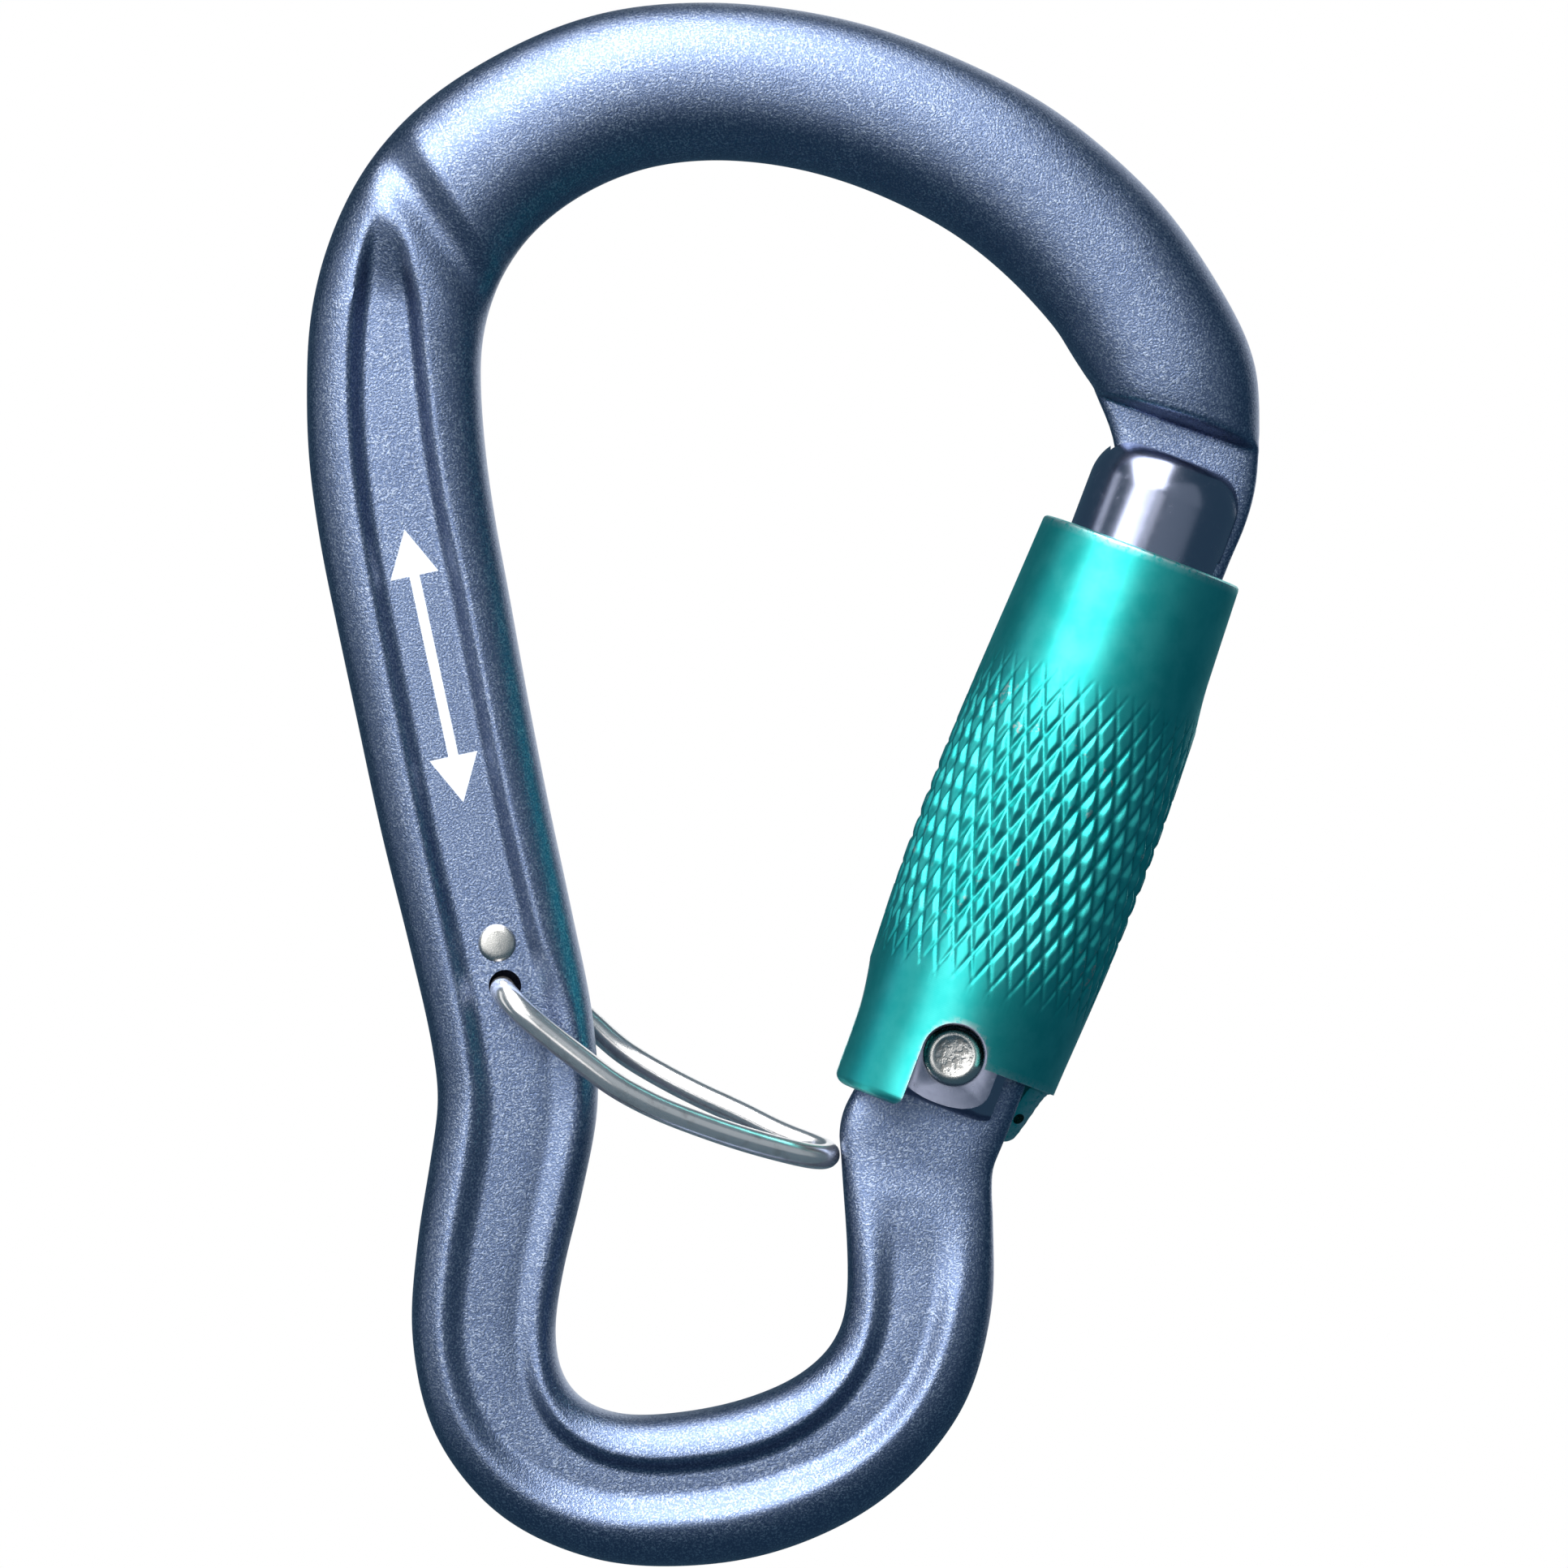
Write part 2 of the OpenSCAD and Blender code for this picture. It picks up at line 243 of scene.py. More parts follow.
def applyModifiers(piece):
    depsgraph = bpy.context.evaluated_depsgraph_get()
    final = bpy.data.meshes.new_from_object(
        piece.evaluated_get(depsgraph), preserve_all_data_layers=True, depsgraph=depsgraph
    )
    piece.modifiers.clear()
    old, piece.data = piece.data, final
    final.name = piece.name
    bpy.data.meshes.remove(old)


def softenEdges(piece, width, angle=30, segments=3):
    step = piece.modifiers.new("edge", "BEVEL")
    step.width, step.segments = width * mm, segments
    step.limit_method, step.angle_limit = "ANGLE", math.radians(angle)
    step.use_clamp_overlap, step.harden_normals = True, False
    applyModifiers(piece)


def shade(piece, angle=35):
    mesh = piece.data
    mesh.polygons.foreach_set("use_smooth", [True] * len(mesh.polygons))
    mesh.set_sharp_from_angle(angle=math.radians(angle))
    mesh.update()


def dress(piece, material, slotName, body, *nodes):
    piece.data.materials.clear()
    piece.data.materials.append(material)
    piece.data.polygons.foreach_set("material_index", [0] * len(piece.data.polygons))
    if body:
        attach(piece, body)
    if nodes:
        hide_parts(*nodes)
    return piece


# finishes

def newFinish(name, **constants):
    material = bpy.data.materials.new(name)
    material.use_nodes = True
    sketch = Sketch(material.node_tree)
    shader = material.node_tree.nodes["Principled BSDF"]
    for key, value in constants.items():
        shader.inputs[key.replace("_", " ")].default_value = value
    coordinates = sketch.add("ShaderNodeTexCoord", None, None, "Object")
    scaled = sketch.add(
        "ShaderNodeVectorMath", {"operation": "SCALE"}, {0: coordinates, "Scale": 1000.0}
    )
    return material, sketch, shader, scaled


def feed(sketch, shader, **values):
    for key, value in values.items():
        sketch.tree.links.new(value.socket, shader.inputs[key.replace("_", " ")])


def bump(sketch, height, strength, distance):
    rows = {"Strength": strength, "Distance": distance, "Height": height}
    return sketch.add("ShaderNodeBump", None, rows)


frameLook = {
    "base": (0.15, 0.20, 0.33, 1),
    "light": (0.69, 0.76, 0.89, 1),
    "dark": (0.01, 0.012, 0.02, 1),
    # dark: the painted shade inside the keeper holes
    "marking": (0.86, 0.87, 0.88, 1),
    "roughness": 0.31,
    "grainScale": 6.4,
    "grainBump": (0.8, 0.00006),  # strength, distance in metres
    "markingCentre": (-21.7, -38.3),
    "markingLean": 12.2,
    "markingLength": 21.0,
    "markingShaft": (0.42, 0.34),  # half widths between which its edge fades
    "markingHead": (3.5, 0.52),  # length, half width gained for each mm of it
    "holeShade": (1.75, 1.5),  # squares of the distances over which a hole's painted shade fades
}


def anodisedFrame():
    look = frameLook
    material, s, shader, place = newFinish("frame_anodised", Metallic=1.0)
    grain = s.noise(place, look["grainScale"], 3.0, 0.66)
    cloud = s.noise(place, 0.35, 2.0)
    x, y, z = s.split(place)
    # a plain two-headed arrow along the spine, printed on the front
    lean = math.radians(look["markingLean"])
    cx, cz = look["markingCentre"]
    along = abs((x - cx) * math.sin(lean) - (z - cz) * math.cos(lean))
    across = abs((x - cx) * math.cos(lean) + (z - cz) * math.sin(lean))
    half, (headLong, headWide) = look["markingLength"] / 2, look["markingHead"]
    shaft = across.soft(*look["markingShaft"]) * along.soft(half - 2.4, half - 2.5)
    tip = (half - along) * headWide
    head = (tip - across).soft(-0.04, 0.06) * along.soft(half - headLong - 0.1, half - headLong)
    inked = (shaft + head).math("MINIMUM", 1.0) * y.soft(-1.0, -1.2)
    speck = grain.soft(0.46, 0.68)
    colour = s.blendColour(look["base"], look["light"], speck * 0.62)
    dim = s.blendColour(colour, look["base"], cloud.soft(0.4, 0.7) * 0.3)
    # painted shade: the two keeper holes are darkened inside
    deep = abs(y).soft(3.45, 3.3)
    for hx, hz in keeperHoles:
        ring = (x - hx) * (x - hx) + (z - hz) * (z - hz)
        dim = s.blendColour(dim, look["dark"], ring.soft(*look["holeShade"]) * deep)
    feed(
        s, shader,
        Base_Color=s.blendColour(dim, look["marking"], inked),
        Roughness=look["roughness"] + (grain - 0.5) * 0.28 + inked * 0.2,
        Metallic=1 - inked,
        Normal=bump(s, grain, *look["grainBump"]),
    )
    return material


gateLook = {"base": (0.34, 0.36, 0.47, 1), "worn": (0.5, 0.52, 0.6, 1), "roughness": 0.2}


def polishedGate():
    look = gateLook
    material, s, shader, place = newFinish("gate_polished", Metallic=1.0)
    height = s.dot(place, alongGate)
    streak = s.noise(place, 1.4, 4.0, 0.7)
    fine = s.noise(place, 14.0, 2.0)
    turning = (height * 9.0).math("SINE") * 0.5 + 0.5
    feed(
        s, shader,
        Base_Color=s.blendColour(look["base"], look["worn"], streak.soft(0.6, 0.9) * 0.4),
        Roughness=look["roughness"] + streak.soft(0.45, 0.8) * 0.08 + fine * 0.03,
        Normal=bump(s, turning * 0.3 + fine, 0.03, 0.00002),
    )
    return material


sleeveLook = {
    "base": (0.06, 0.61, 0.57, 1),
    "deep": (0.03, 0.53, 0.50, 1),
    "worn": (0.50, 0.44, 0.42, 1),
    "bareAndSheen": (0.80, 0.88, 0.86, 1),
    "roughness": 0.37,
}


def anodisedSleeve():
    look = sleeveLook
    material, s, shader, place = newFinish("sleeve_anodised", Metallic=1.0)
    crest = s.add("ShaderNodeAttribute", {"attribute_name": "crest"}, None, "Fac")
    rim = s.add("ShaderNodeAttribute", {"attribute_name": "rim"}, None, "Fac")
    height = s.dot(place, alongGate)
    patch = s.noise(place, 0.42, 3.0, 0.6)
    fleck = s.noise(place, 2.6, 3.0, 0.7)
    fine = s.noise(place, 9.0, 2.0)
    turning = (height * 46.0 + patch * 9).math("SINE") * 0.5 + 0.5
    worn = crest * patch.soft(0.56, 0.66) * fleck.soft(0.46, 0.6)
    # outer edges and end faces turn pale: partly chipped bare anodising, partly a painted highlight
    bareAndSheen = rim * fleck.soft(0.3, 0.55) * 0.8
    tint = s.blendColour(look["base"], look["deep"], patch.soft(0.3, 0.7))
    tint = s.blendColour(tint, look["worn"], worn * 0.75)
    feed(
        s, shader,
        Base_Color=s.blendColour(tint, look["bareAndSheen"], bareAndSheen * 0.8),
        Roughness=look["roughness"] + fine * 0.08 + worn * 0.18,
        Normal=bump(s, turning * 0.6 + fine, 0.07, 0.00003),
    )
    return material


def steel(name, base, dark, roughness, pitted=0.0, metal=1.0):
    material, s, shader, place = newFinish(name, Metallic=metal)
    grime = s.noise(place, 0.9, 4.0, 0.6)
    fine = s.noise(place, 11.0, 3.0, 0.6)
    x, _, z = s.split(place)
    middle = (x - pivot.x) * (x - pivot.x) + (z - pivot.z) * (z - pivot.z)
    pits = middle.soft(2.4, 1.9) * pitted * s.noise(place, 2.4, 2.0).soft(0.4, 0.62)
    feed(
        s, shader,
        Base_Color=s.blendColour(base, dark, grime.soft(0.5, 0.8) * 0.5 + pits * 0.5),
        Roughness=roughness + fine * 0.12 + pits * 0.2,
        Normal=bump(s, fine + pits * -2, 0.12 + 0.3 * pitted, 0.00003),
    )
    return material


finishes = {
    "frame_anodised": anodisedFrame(),
    "gate_polished": polishedGate(),
    "sleeve_anodised": anodisedSleeve(),
    "steel_polished": steel(
        "steel_polished", (0.88, 0.85, 0.83, 1), (0.30, 0.27, 0.26, 1), 0.15, metal=0.93
    ),
    "rivet_steel": steel(
        "rivet_steel", (0.64, 0.62, 0.59, 1), (0.20, 0.19, 0.18, 1), 0.22, pitted=1.0
    ),
    "spring_steel": steel(
        "spring_steel", (0.45, 0.45, 0.47, 1), (0.22, 0.22, 0.24, 1), 0.3
    ),
}
print("finishes ready:", ", ".join(finishes))


# the frame: one bar from the nose round to the lug

frameDims = {
    "ringPoints": 128,
    "sectionSteps": 1441,
    # distance of the rings along the nose, the step over it, the bar and the lug
    "ringSteps": (0.8, 0.07, 0.42, 0.45),
    "easing": 4,  # length over which the bends' easing starts and ends
    "leastWall": 0.3,  # least width of the recess's walls
    "deepestShare": 0.6,  # the most that the recess takes of a half thickness
    "valley": ((-24.05, 0.3), (-18.36, -7.96)),
    "valleyReach": 14,
    "valleyPinch": (0.18, -1.1, 1.15),  # share of the thickness, shift, width
    "valleyRidge": (0.055, 1.3, 0.65),
    "holeRadius": 1.22,
    "boreRadius": 1.95,
}

# nose and lug: height along the gate, left and right edge, thickness, squareness
noseRows = [
    (34.3, -2.6, 5.5, 4.3, 5.5), (34.9, -3.2, 6.1, 4.3, 5.5), (36.0, -3.4, 6.25, 4.3, 5.5),
    (40.0, -3.3, 6.28, 4.3, 5.5), (41.6, -3.5, 6.3, 4.2, 5.5), (42.4, -3.6, 6.32, 3.2, 5.5),
    (45.0, -4.0, 6.42, 3.2, 5.5), (47.0, -4.75, 6.3, 3.2, 5.5), (48.7, -5.95, 6.0, 3.2, 5),
    (49.6, -6.8, 5.75, 3.2, 5),
]
# the step over the nose: left and right edge in the gate's frame, thickness, squareness
stepRows = [
    ((-7.38, 50.2), (5.6, 50.1), 3.2, 5), ((-7.5, 50.33), (5.48, 50.5), 3.45, 4.5),
    ((-7.6, 50.43), (5.4, 50.8), 4.6, 3.8), ((-7.7, 50.53), (5.28, 51.1), 7.0, 3.1),
    ((-7.8, 50.65), (5.15, 51.45), 8.7, 2.7), ((-7.95, 50.8), (5.0, 51.95), 9.5, 2.5),
    ((-8.35, 51.1), (4.72, 52.7), 9.8, 2.4),
]
# from the step into the bar: left and right edge in the row frame
shoulderRows = [
    ((27.45, -16.45), (40.5, -17.9), 10.1, 2.35), ((26.75, -15.4), (40.15, -14.9), 10.3, 2.3),
    ((25.95, -14.1), (38.2, -10.8), 10.4, 2.3),
]
lugRows = [
    (-10.0, -5.25, 7.0, 5.0, 4.6), (-8.6, -5.9, 6.4, 4.8, 5), (-7.0, -6.2, 5.9, 4.8, 5),
    (-5.2, -6.05, 5.9, 4.8, 5), (-3.6, -5.75, 5.95, 4.8, 5), (-1.5, -5.3, 5.95, 4.8, 5),
    (-0.6, -5.25, 5.95, 4.8, 5), (1.2, -5.2, 5.7, 4.8, 5), (2.8, -4.65, 4.9, 4.8, 5),
    (3.9, -3.54, 3.4, 4.8, 5), (4.36, -3.05, 0.6, 4.8, 5), (4.55, -2.0, -0.6, 4.8, 5),
]
# the bar: x, z, width, thickness, squareness, then the recess: its depth, and across the
# bar the inner crest, inner and outer edge of the floor, and outer crest
barRows = [
    (30.05, -9.25, 12.15, 10.4, 2.3, 0, 3.4, 3.9, 4.0, 4.6),
    (25.95, -4.75, 12.1, 10.4, 2.2, 0, 3.4, 3.9, 4.0, 4.6),
    (21.5, -1.15, 12.0, 10.4, 2.2, 0, 3.4, 3.9, 4.0, 4.6),
    (15.3, 2.2, 11.8, 10.4, 2.2, 0, 3.4, 3.9, 4.0, 4.6),
    (9.0, 4.5, 11.8, 10.4, 2.2, 0, 3.4, 3.9, 4.0, 4.6),
    (4.0, 5.5, 11.8, 10.4, 2.2, 0, 3.4, 3.9, 4.0, 4.6),
    (-0.7, 5.85, 11.9, 10.4, 2.2, 0, 3.4, 3.9, 4.0, 4.6),
    (-7.6, 5.1, 12.2, 10.4, 2.2, 0, 3.4, 3.9, 4.0, 4.6),
    (-14.1, 2.4, 12.4, 10.4, 2.3, 0, 3.4, 3.9, 4.0, 4.6),
    (-19.2, -1.4, 12.9, 10.4, 2.4, 0, 3.4, 3.9, 4.0, 4.6),
    (-21.2, -3.8, 13.1, 10.2, 2.5, 0, 3.3, 3.7, 3.9, 4.7),
    (-22.4, -5.8, 13.1, 9.9, 2.7, 0.0, 1.9, 2.7, 3.6, 4.6),
    (-22.75, -6.5, 13.1, 9.85, 2.7, 0.27, 1.15, 2.1, 3.5, 4.5),
    (-23.1, -7.3, 13.1, 9.8, 2.75, 0.64, 0.35, 1.4, 3.2, 4.3),
    (-23.5, -8.4, 13.1, 9.7, 2.8, 1.05, -0.35, 0.8, 2.9, 4.1),
    (-23.95, -9.7, 13.1, 9.6, 3.0, 1.45, -1.2, 0.1, 2.6, 3.85),
    (-24.25, -10.9, 13.1, 9.6, 3.0, 1.62, -1.75, -0.4, 2.4, 3.7),
    (-24.5, -12.2, 13.1, 9.55, 3.1, 1.6, -2.1, -0.8, 2.3, 3.65),
    (-24.7, -13.6, 13.1, 9.5, 3.1, 1.55, -2.4, -1.1, 2.2, 3.6),
    (-24.8, -16.6, 13.1, 9.4, 3.2, 1.45, -2.8, -1.5, 2.2, 3.5),
    (-24.6, -21.7, 13.3, 9.4, 3.2, 1.35, -3.2, -1.9, 2.2, 3.5),
    (-23.8, -27.8, 13.3, 9.4, 3.2, 1.3, -3.5, -2.1, 2.2, 3.5),
    (-22.6, -34.0, 13.2, 9.4, 3.2, 1.25, -3.7, -2.2, 2.2, 3.6),
    (-21.4, -40.1, 13.0, 9.4, 3.2, 1.25, -3.7, -2.2, 2.2, 3.6),
    (-19.5, -49.4, 12.8, 9.4, 3.2, 1.25, -3.7, -2.2, 2.2, 3.6),
    (-17.4, -58.5, 12.5, 9.4, 3.2, 1.2, -3.8, -2.2, 2.1, 3.7),
    (-15.8, -66.2, 12.3, 9.4, 3.2, 1.15, -5.2, -2.4, 2.0, 3.8),
    (-15.4, -70.9, 12.1, 9.4, 3.0, 1.15, -5.4, -2.4, 1.7, 3.8),
    (-16.3, -76.8, 11.7, 9.4, 3.0, 1.15, -5.2, -2.3, 1.4, 3.6),
    (-17.5, -82.9, 11.2, 9.4, 3.0, 1.15, -5.0, -2.3, 1.3, 3.5),
    (-18.0, -89.0, 10.8, 9.4, 3.0, 1.2, -4.7, -2.3, 1.3, 3.4),
    (-16.8, -94.2, 10.7, 9.4, 3.0, 1.2, -4.0, -2.1, 1.0, 3.2),
    (-13.7, -98.0, 10.8, 9.4, 3.0, 1.2, -3.3, -1.8, 0.6, 3.1),
    (-9.1, -100.1, 11.1, 9.4, 3.0, 1.2, -2.8, -1.5, 0.2, 3.0),
    (-2.7, -100.4, 11.6, 9.4, 3.0, 1.2, -2.6, -1.35, 0.0, 2.7),
    (3.7, -99.1, 11.7, 9.4, 3.0, 1.2, -2.6, -1.35, 0.0, 2.7),
    (9.6, -96.0, 11.3, 9.3, 3.0, 1.2, -3.0, -1.6, 0.4, 2.6),
    (13.5, -91.4, 11.0, 8.7, 3.0, 1.1, -3.5, -1.9, 0.6, 2.6),
]
# from the bar into the lug: left and right edge in the row frame, then as for the bar
tailRows = [
    ((9.45, -85.4), (20.3, -87.0), 7.7, 3.2, 0.85, -3.9, -1.9, 0.8, 3.0),
    ((9.4, -81.6), (20.5, -84.0), 6.7, 3.5, 0.55, -4.2, -1.8, 0.9, 3.6),
    ((9.15, -78.2), (20.45, -81.5), 5.7, 4.0, 0.12, -4.5, -1.6, 0.9, 4.0),
]
# the last five values of a row where the bar has no recess
plainSection = (0, 3.4, 3.9, 4.0, 4.6)


def gateEdges(rows):
    # left and right edge of rows that stand square to the gate
    out = []
    for g, left, right, thick, square in rows:
        ends = fromGate([[left, 0, g], [right, 0, g]])[:, ::2]
        out.append((*ends[0], *ends[1], thick, square, *plainSection))
    return out


def stepEdges():
    out = []
    for left, right, thick, square in stepRows:
        ends = fromGate([[left[0], 0, left[1]], [right[0], 0, right[1]]])[:, ::2]
        out.append((*ends[0], *ends[1], thick, square, *plainSection))
    for left, right, thick, square in shoulderRows:
        out.append((*left, *right, thick, square, *plainSection))
    return out


def barEdges(before, after):
    # edges of the bar's rows, square to the line through their middles
    line = np.array([before] + [row[:2] for row in barRows] + [after])
    gap = np.linalg.norm(np.diff(line, axis=0), axis=1)[:, None]
    way = np.diff(line, axis=0) / gap
    tangent = way[:-1] * gap[1:] + way[1:] * gap[:-1]
    tangent /= np.linalg.norm(tangent, axis=1)[:, None]
    out = []
    for row, (tx, tz) in zip(barRows, tangent):
        half = row[2] / 2
        left = (row[0] - tz * half, row[1] + tx * half)
        right = (row[0] + tz * half, row[1] - tx * half)
        out.append((*left, *right, *row[3:]))
    return out + [(*left, *right, *rest) for left, right, *rest in tailRows]


def glide(t, at, rows, straight=False):
    # a smooth curve through the rows; straight keeps it from overshooting
    gap = np.diff(at)[:, None]
    slope = np.diff(rows, axis=0) / gap
    inner = (slope[:-1] * gap[1:] + slope[1:] * gap[:-1]) / (gap[1:] + gap[:-1])
    if straight:
        same = slope[:-1] * slope[1:] > 0
        least = 2 * np.minimum(abs(slope[:-1]), abs(slope[1:]))
        inner = np.where(same, np.sign(inner) * np.minimum(abs(inner), least), 0)
    tangent = np.vstack([slope[:1], inner, slope[-1:]])
    i = np.clip(np.searchsorted(at, t, side="right") - 1, 0, len(at) - 2)
    h = (at[i + 1] - at[i])[:, None]
    s = (t[:, None] - at[i][:, None]) / h
    return (
        (2 * s**3 - 3 * s**2 + 1) * rows[i] + (s**3 - 2 * s**2 + s) * h * tangent[i]
        + (3 * s**2 - 2 * s**3) * rows[i + 1] + (s**3 - s**2) * h * tangent[i + 1]
    )


def smoothed(values, spread):
    # a bell-shaped running mean, with the ends carried on straight
    reach = int(3 * spread)
    bell = np.exp(-0.5 * (np.arange(-reach, reach + 1) / spread) ** 2)
    first = 2 * values[0] - values[reach:0:-1]
    last = 2 * values[-1] - values[-2:-reach - 2:-1]
    padded = np.vstack([first, values, last])
    columns = [np.convolve(c, bell / bell.sum(), "valid") for c in padded.T]
    return np.stack(columns, 1)


def ease(v):
    v = np.clip(v, 0, 1)
    return v * v * (3 - 2 * v)


def frameRings(dims):
    noseRings, lugRings = gateEdges(noseRows) + stepEdges(), gateEdges(lugRows)
    before = tuple((a + b) / 2 for a, b in zip(noseRings[-1][:2], noseRings[-1][2:4]))
    after = tuple((a + b) / 2 for a, b in zip(*tailRows[0][:2]))
    rows = np.array(noseRings + barEdges(before, after) + lugRings, float)
    middles = (rows[:, :2] + rows[:, 2:4]) / 2
    at = np.insert(np.cumsum(np.hypot(*np.diff(middles, axis=0).T)), 0, 0)
    plate, step = at[len(noseRows)], at[len(noseRows) + len(stepRows) - 1]
    lugStart = at[-len(lugRows)]
    fine = np.arange(0, at[-1], 0.1)
    sides = glide(fine, at, rows[:, :4])
    # the bends are eased, the plate and the step keep their edges
    share = ease((fine - step) / dims["easing"]) * ease((lugStart - fine) / dims["easing"])
    sides = sides + (smoothed(sides, 12) - sides) * share[:, None]
    onNose, onStep, onBar, onLug = dims["ringSteps"]
    places = np.concatenate([
        np.arange(0, plate - 0.3, onNose), np.arange(plate - 0.3, step + 0.3, onStep),
        np.arange(step + 0.3, lugStart, onBar), np.arange(lugStart, at[-1], onLug),
        [at[-1]],
    ])
    left = np.stack([np.interp(places, fine, c) for c in sides[:, :2].T], 1)
    right = np.stack([np.interp(places, fine, c) for c in sides[:, 2:].T], 1)
    facts = glide(places, at, rows[:, 4:], straight=True)
    width = np.linalg.norm(right - left, axis=1)[:, None]
    return (left + right) / 2, (right - left) / width, np.hstack([width, facts])


def buildFrame(dims):
    centre, out, facts = frameRings(dims)
    angle = np.linspace(0, 2 * math.pi, dims["sectionSteps"])
    c, s = np.cos(angle), np.sin(angle)
    top, foot = np.array(dims["valley"][0]), np.array(dims["valley"][1])
    valleyLine = (foot - top) / np.linalg.norm(foot - top)
    least = dims["leastWall"]
    rings = []
    for middle, side, row in zip(centre, out, facts):
        width, thick, square, depth, inCrest, inFloor, outFloor, outCrest = row
        u = width / 2 * np.sign(c) * np.abs(c) ** (2 / square)
        v = thick / 2 * np.sign(s) * np.abs(s) ** (2 / square)
        run = np.insert(np.cumsum(np.hypot(np.diff(u), np.diff(v))), 0, 0)
        even = np.linspace(0, run[-1], dims["ringPoints"], endpoint=False)
        u, v = np.interp(even, run, u), np.interp(even, run, v)
        walls = ease((outCrest - u) / max(outCrest - outFloor, least))
        walls = walls * ease((u - inCrest) / max(inFloor - inCrest, least))
        v = v - np.sign(v) * np.minimum(depth * walls, abs(v) * dims["deepestShare"])
        place = middle + side * u[:, None]
        off = (place - top) @ np.array([-valleyLine[1], valleyLine[0]])
        near = np.linalg.norm(middle - (top + foot) / 2) < dims["valleyReach"]
        pinch, ridge = (
            share * np.exp(-0.5 * ((off - shift) / wide) ** 2)
            for share, shift, wide in (dims["valleyPinch"], dims["valleyRidge"])
        )
        v = v * (1 + near * (ridge - pinch))
        rings.append(np.stack([place[:, 0], v, place[:, 1]], 1))
    piece = skinRings("frame_bar", np.array(rings))
    rod = prism("bore", circle((pivot.x, pivot.z), dims["boreRadius"]), (-8, 8))
    front = prism("front", circle(keeperHoles[0], dims["holeRadius"]), (-9, -1.6))
    back = prism("back", circle(keeperHoles[1], dims["holeRadius"]), (1.6, 9))
    cut(piece, rod, front, back)
    shade(piece, 50)
    return dress(piece, finishes["frame_anodised"], "frame_anodised", "frame", "frame")


frameBar = buildFrame(frameDims)
print("frame bar:", len(frameBar.data.polygons), "faces")


# the gate and its rivet

gateDims = {
    "radius": 5.9,
    "top": 48.1,
    "topRound": (2.4, 3.2),
    "cheekEnd": -4.05,
    "heelRound": 2.2,
    "cheekTop": 3.4,
    "cheekWide": 4.3,
    "cheekDeep": 4.7,
    "slot": (2.5, 6.3),  # half width and top of the slot for the lug
    "landRadius": 6.65,
    "lands": ((7.2, 10.8), (29.2, 33.0)),
    "ringGroove": (6.28, 30.7, 31.5),  # radius, foot and top
    "pocket": (33.9, 42.1, 2.3),  # radii about the rivet, half width
    "mouth": (1.75, [(8, 41), (8, 50), (-5.8, 50), (-5.3, 47.6), (-4.6, 45.0),
                     (-3.8, 42.3), (-3.8, 41)]),  # half width, outline
    "rivetHole": 1.9,
    "bore": [(0.01, 5), (1.3, 5), (1.3, 9.2), (1.95, 9.2), (1.95, 26.8), (0.01, 26.8)],
    "edgeRound": 0.28,
}


def buildGate(d):
    r, top, (bend, drop) = d["radius"], d["top"], d["topRound"]
    land, foot, heel = d["landRadius"], d["cheekEnd"], d["heelRound"]
    (foot1, top1), (foot2, top2) = d["lands"]
    groove, grooveFoot, grooveTop = d["ringGroove"]
    outline = [
        (0.01, foot), *arc((r - heel, foot + heel), heel, -90, 0, 10),
        (r, foot1), (land, foot1), (land, top1), (r, top1), (r, foot2), (land, foot2),
        (land, grooveFoot), (groove, grooveFoot), (groove, grooveTop), (land, grooveTop),
        (land, top2), (r, top2),
    ]
    quarter = arc((0, 0), 1, 0, 90, 16)
    outline += [(r - bend + bend * x, top - drop + drop * z) for x, z in quarter]
    outline.append((0.01, top))
    piece = turned("gate_barrel", outline, 144)
    cheek = d["cheekTop"]
    boxes = []
    for side in (-1, 1):
        wide = sorted((side * d["cheekWide"], side * 9))
        deep = sorted((side * d["cheekDeep"], side * 9))
        boxes.append(prism("flat", [(wide[0], -7), (wide[1], -7), (wide[1], cheek),
                                    (wide[0], cheek)], (-9, 9)))
        boxes.append(prism("face", [(-9, -7), (9, -7), (9, cheek), (-9, cheek)], deep))
    half, high = d["slot"]
    lugSlot = prism("slot", [(-9, -7), (9, -7), (9, high), (-9, high)], (-half, half))
    near, far, half = d["pocket"]
    pocket = prism("pocket", arc((0, 0), far, 95, 70, 12) + arc((0, 0), near, 70, 96, 12),
                   (-half, half))
    half, mouth = d["mouth"]
    mouth = prism("mouth", mouth, (-half, half))
    hole = prism("hole", circle((0, 0), d["rivetHole"]), (-9, 9))
    bore = turned("bore", d["bore"], 48)
    cut(piece, *boxes, lugSlot, pocket, mouth, hole, bore)
    softenEdges(piece, d["edgeRound"], 32, 4)
    shade(piece, 40)
    toRow(piece)
    return dress(piece, finishes["gate_polished"], "gate_polished", "gate", "gate")


rivetDims = {"shank": 1.9, "head": 2.3, "seat": 4.7, "top": 6.12, "flat": 1.5, "dimple": 0.12}


def buildRivet(d):
    h, seat, top = d["head"], d["seat"], d["top"]
    dome = [(d["shank"], seat), (h - 0.2, seat), (h - 0.05, seat + 0.1), (h, seat + 0.3)]
    dome += arc((h - 0.75, top - 0.72), 0.75, 2, 84, 12)
    dome += [(d["flat"] + 0.05, top + 0.03), (d["flat"] - 0.1, top - 0.02),
             (d["flat"] - 0.3, top - d["dimple"]), (0.4, top - d["dimple"] * 0.8),
             (0.01, top - d["dimple"] * 0.8)]
    piece = turned("rivet_pin", [(r, -z) for r, z in reversed(dome)] + dome, 96)
    place = Matrix.Translation(pivot) @ Matrix.Rotation(math.radians(90), 4, "X")
    toRow(piece, place)
    shade(piece, 40)
    return dress(piece, finishes["rivet_steel"], "steel_polished", "gate", "gate_rivet")


plungerDims = {"foot": 1.25, "shoulder": 1.85, "tail": 0.85, "seat": 5.77}


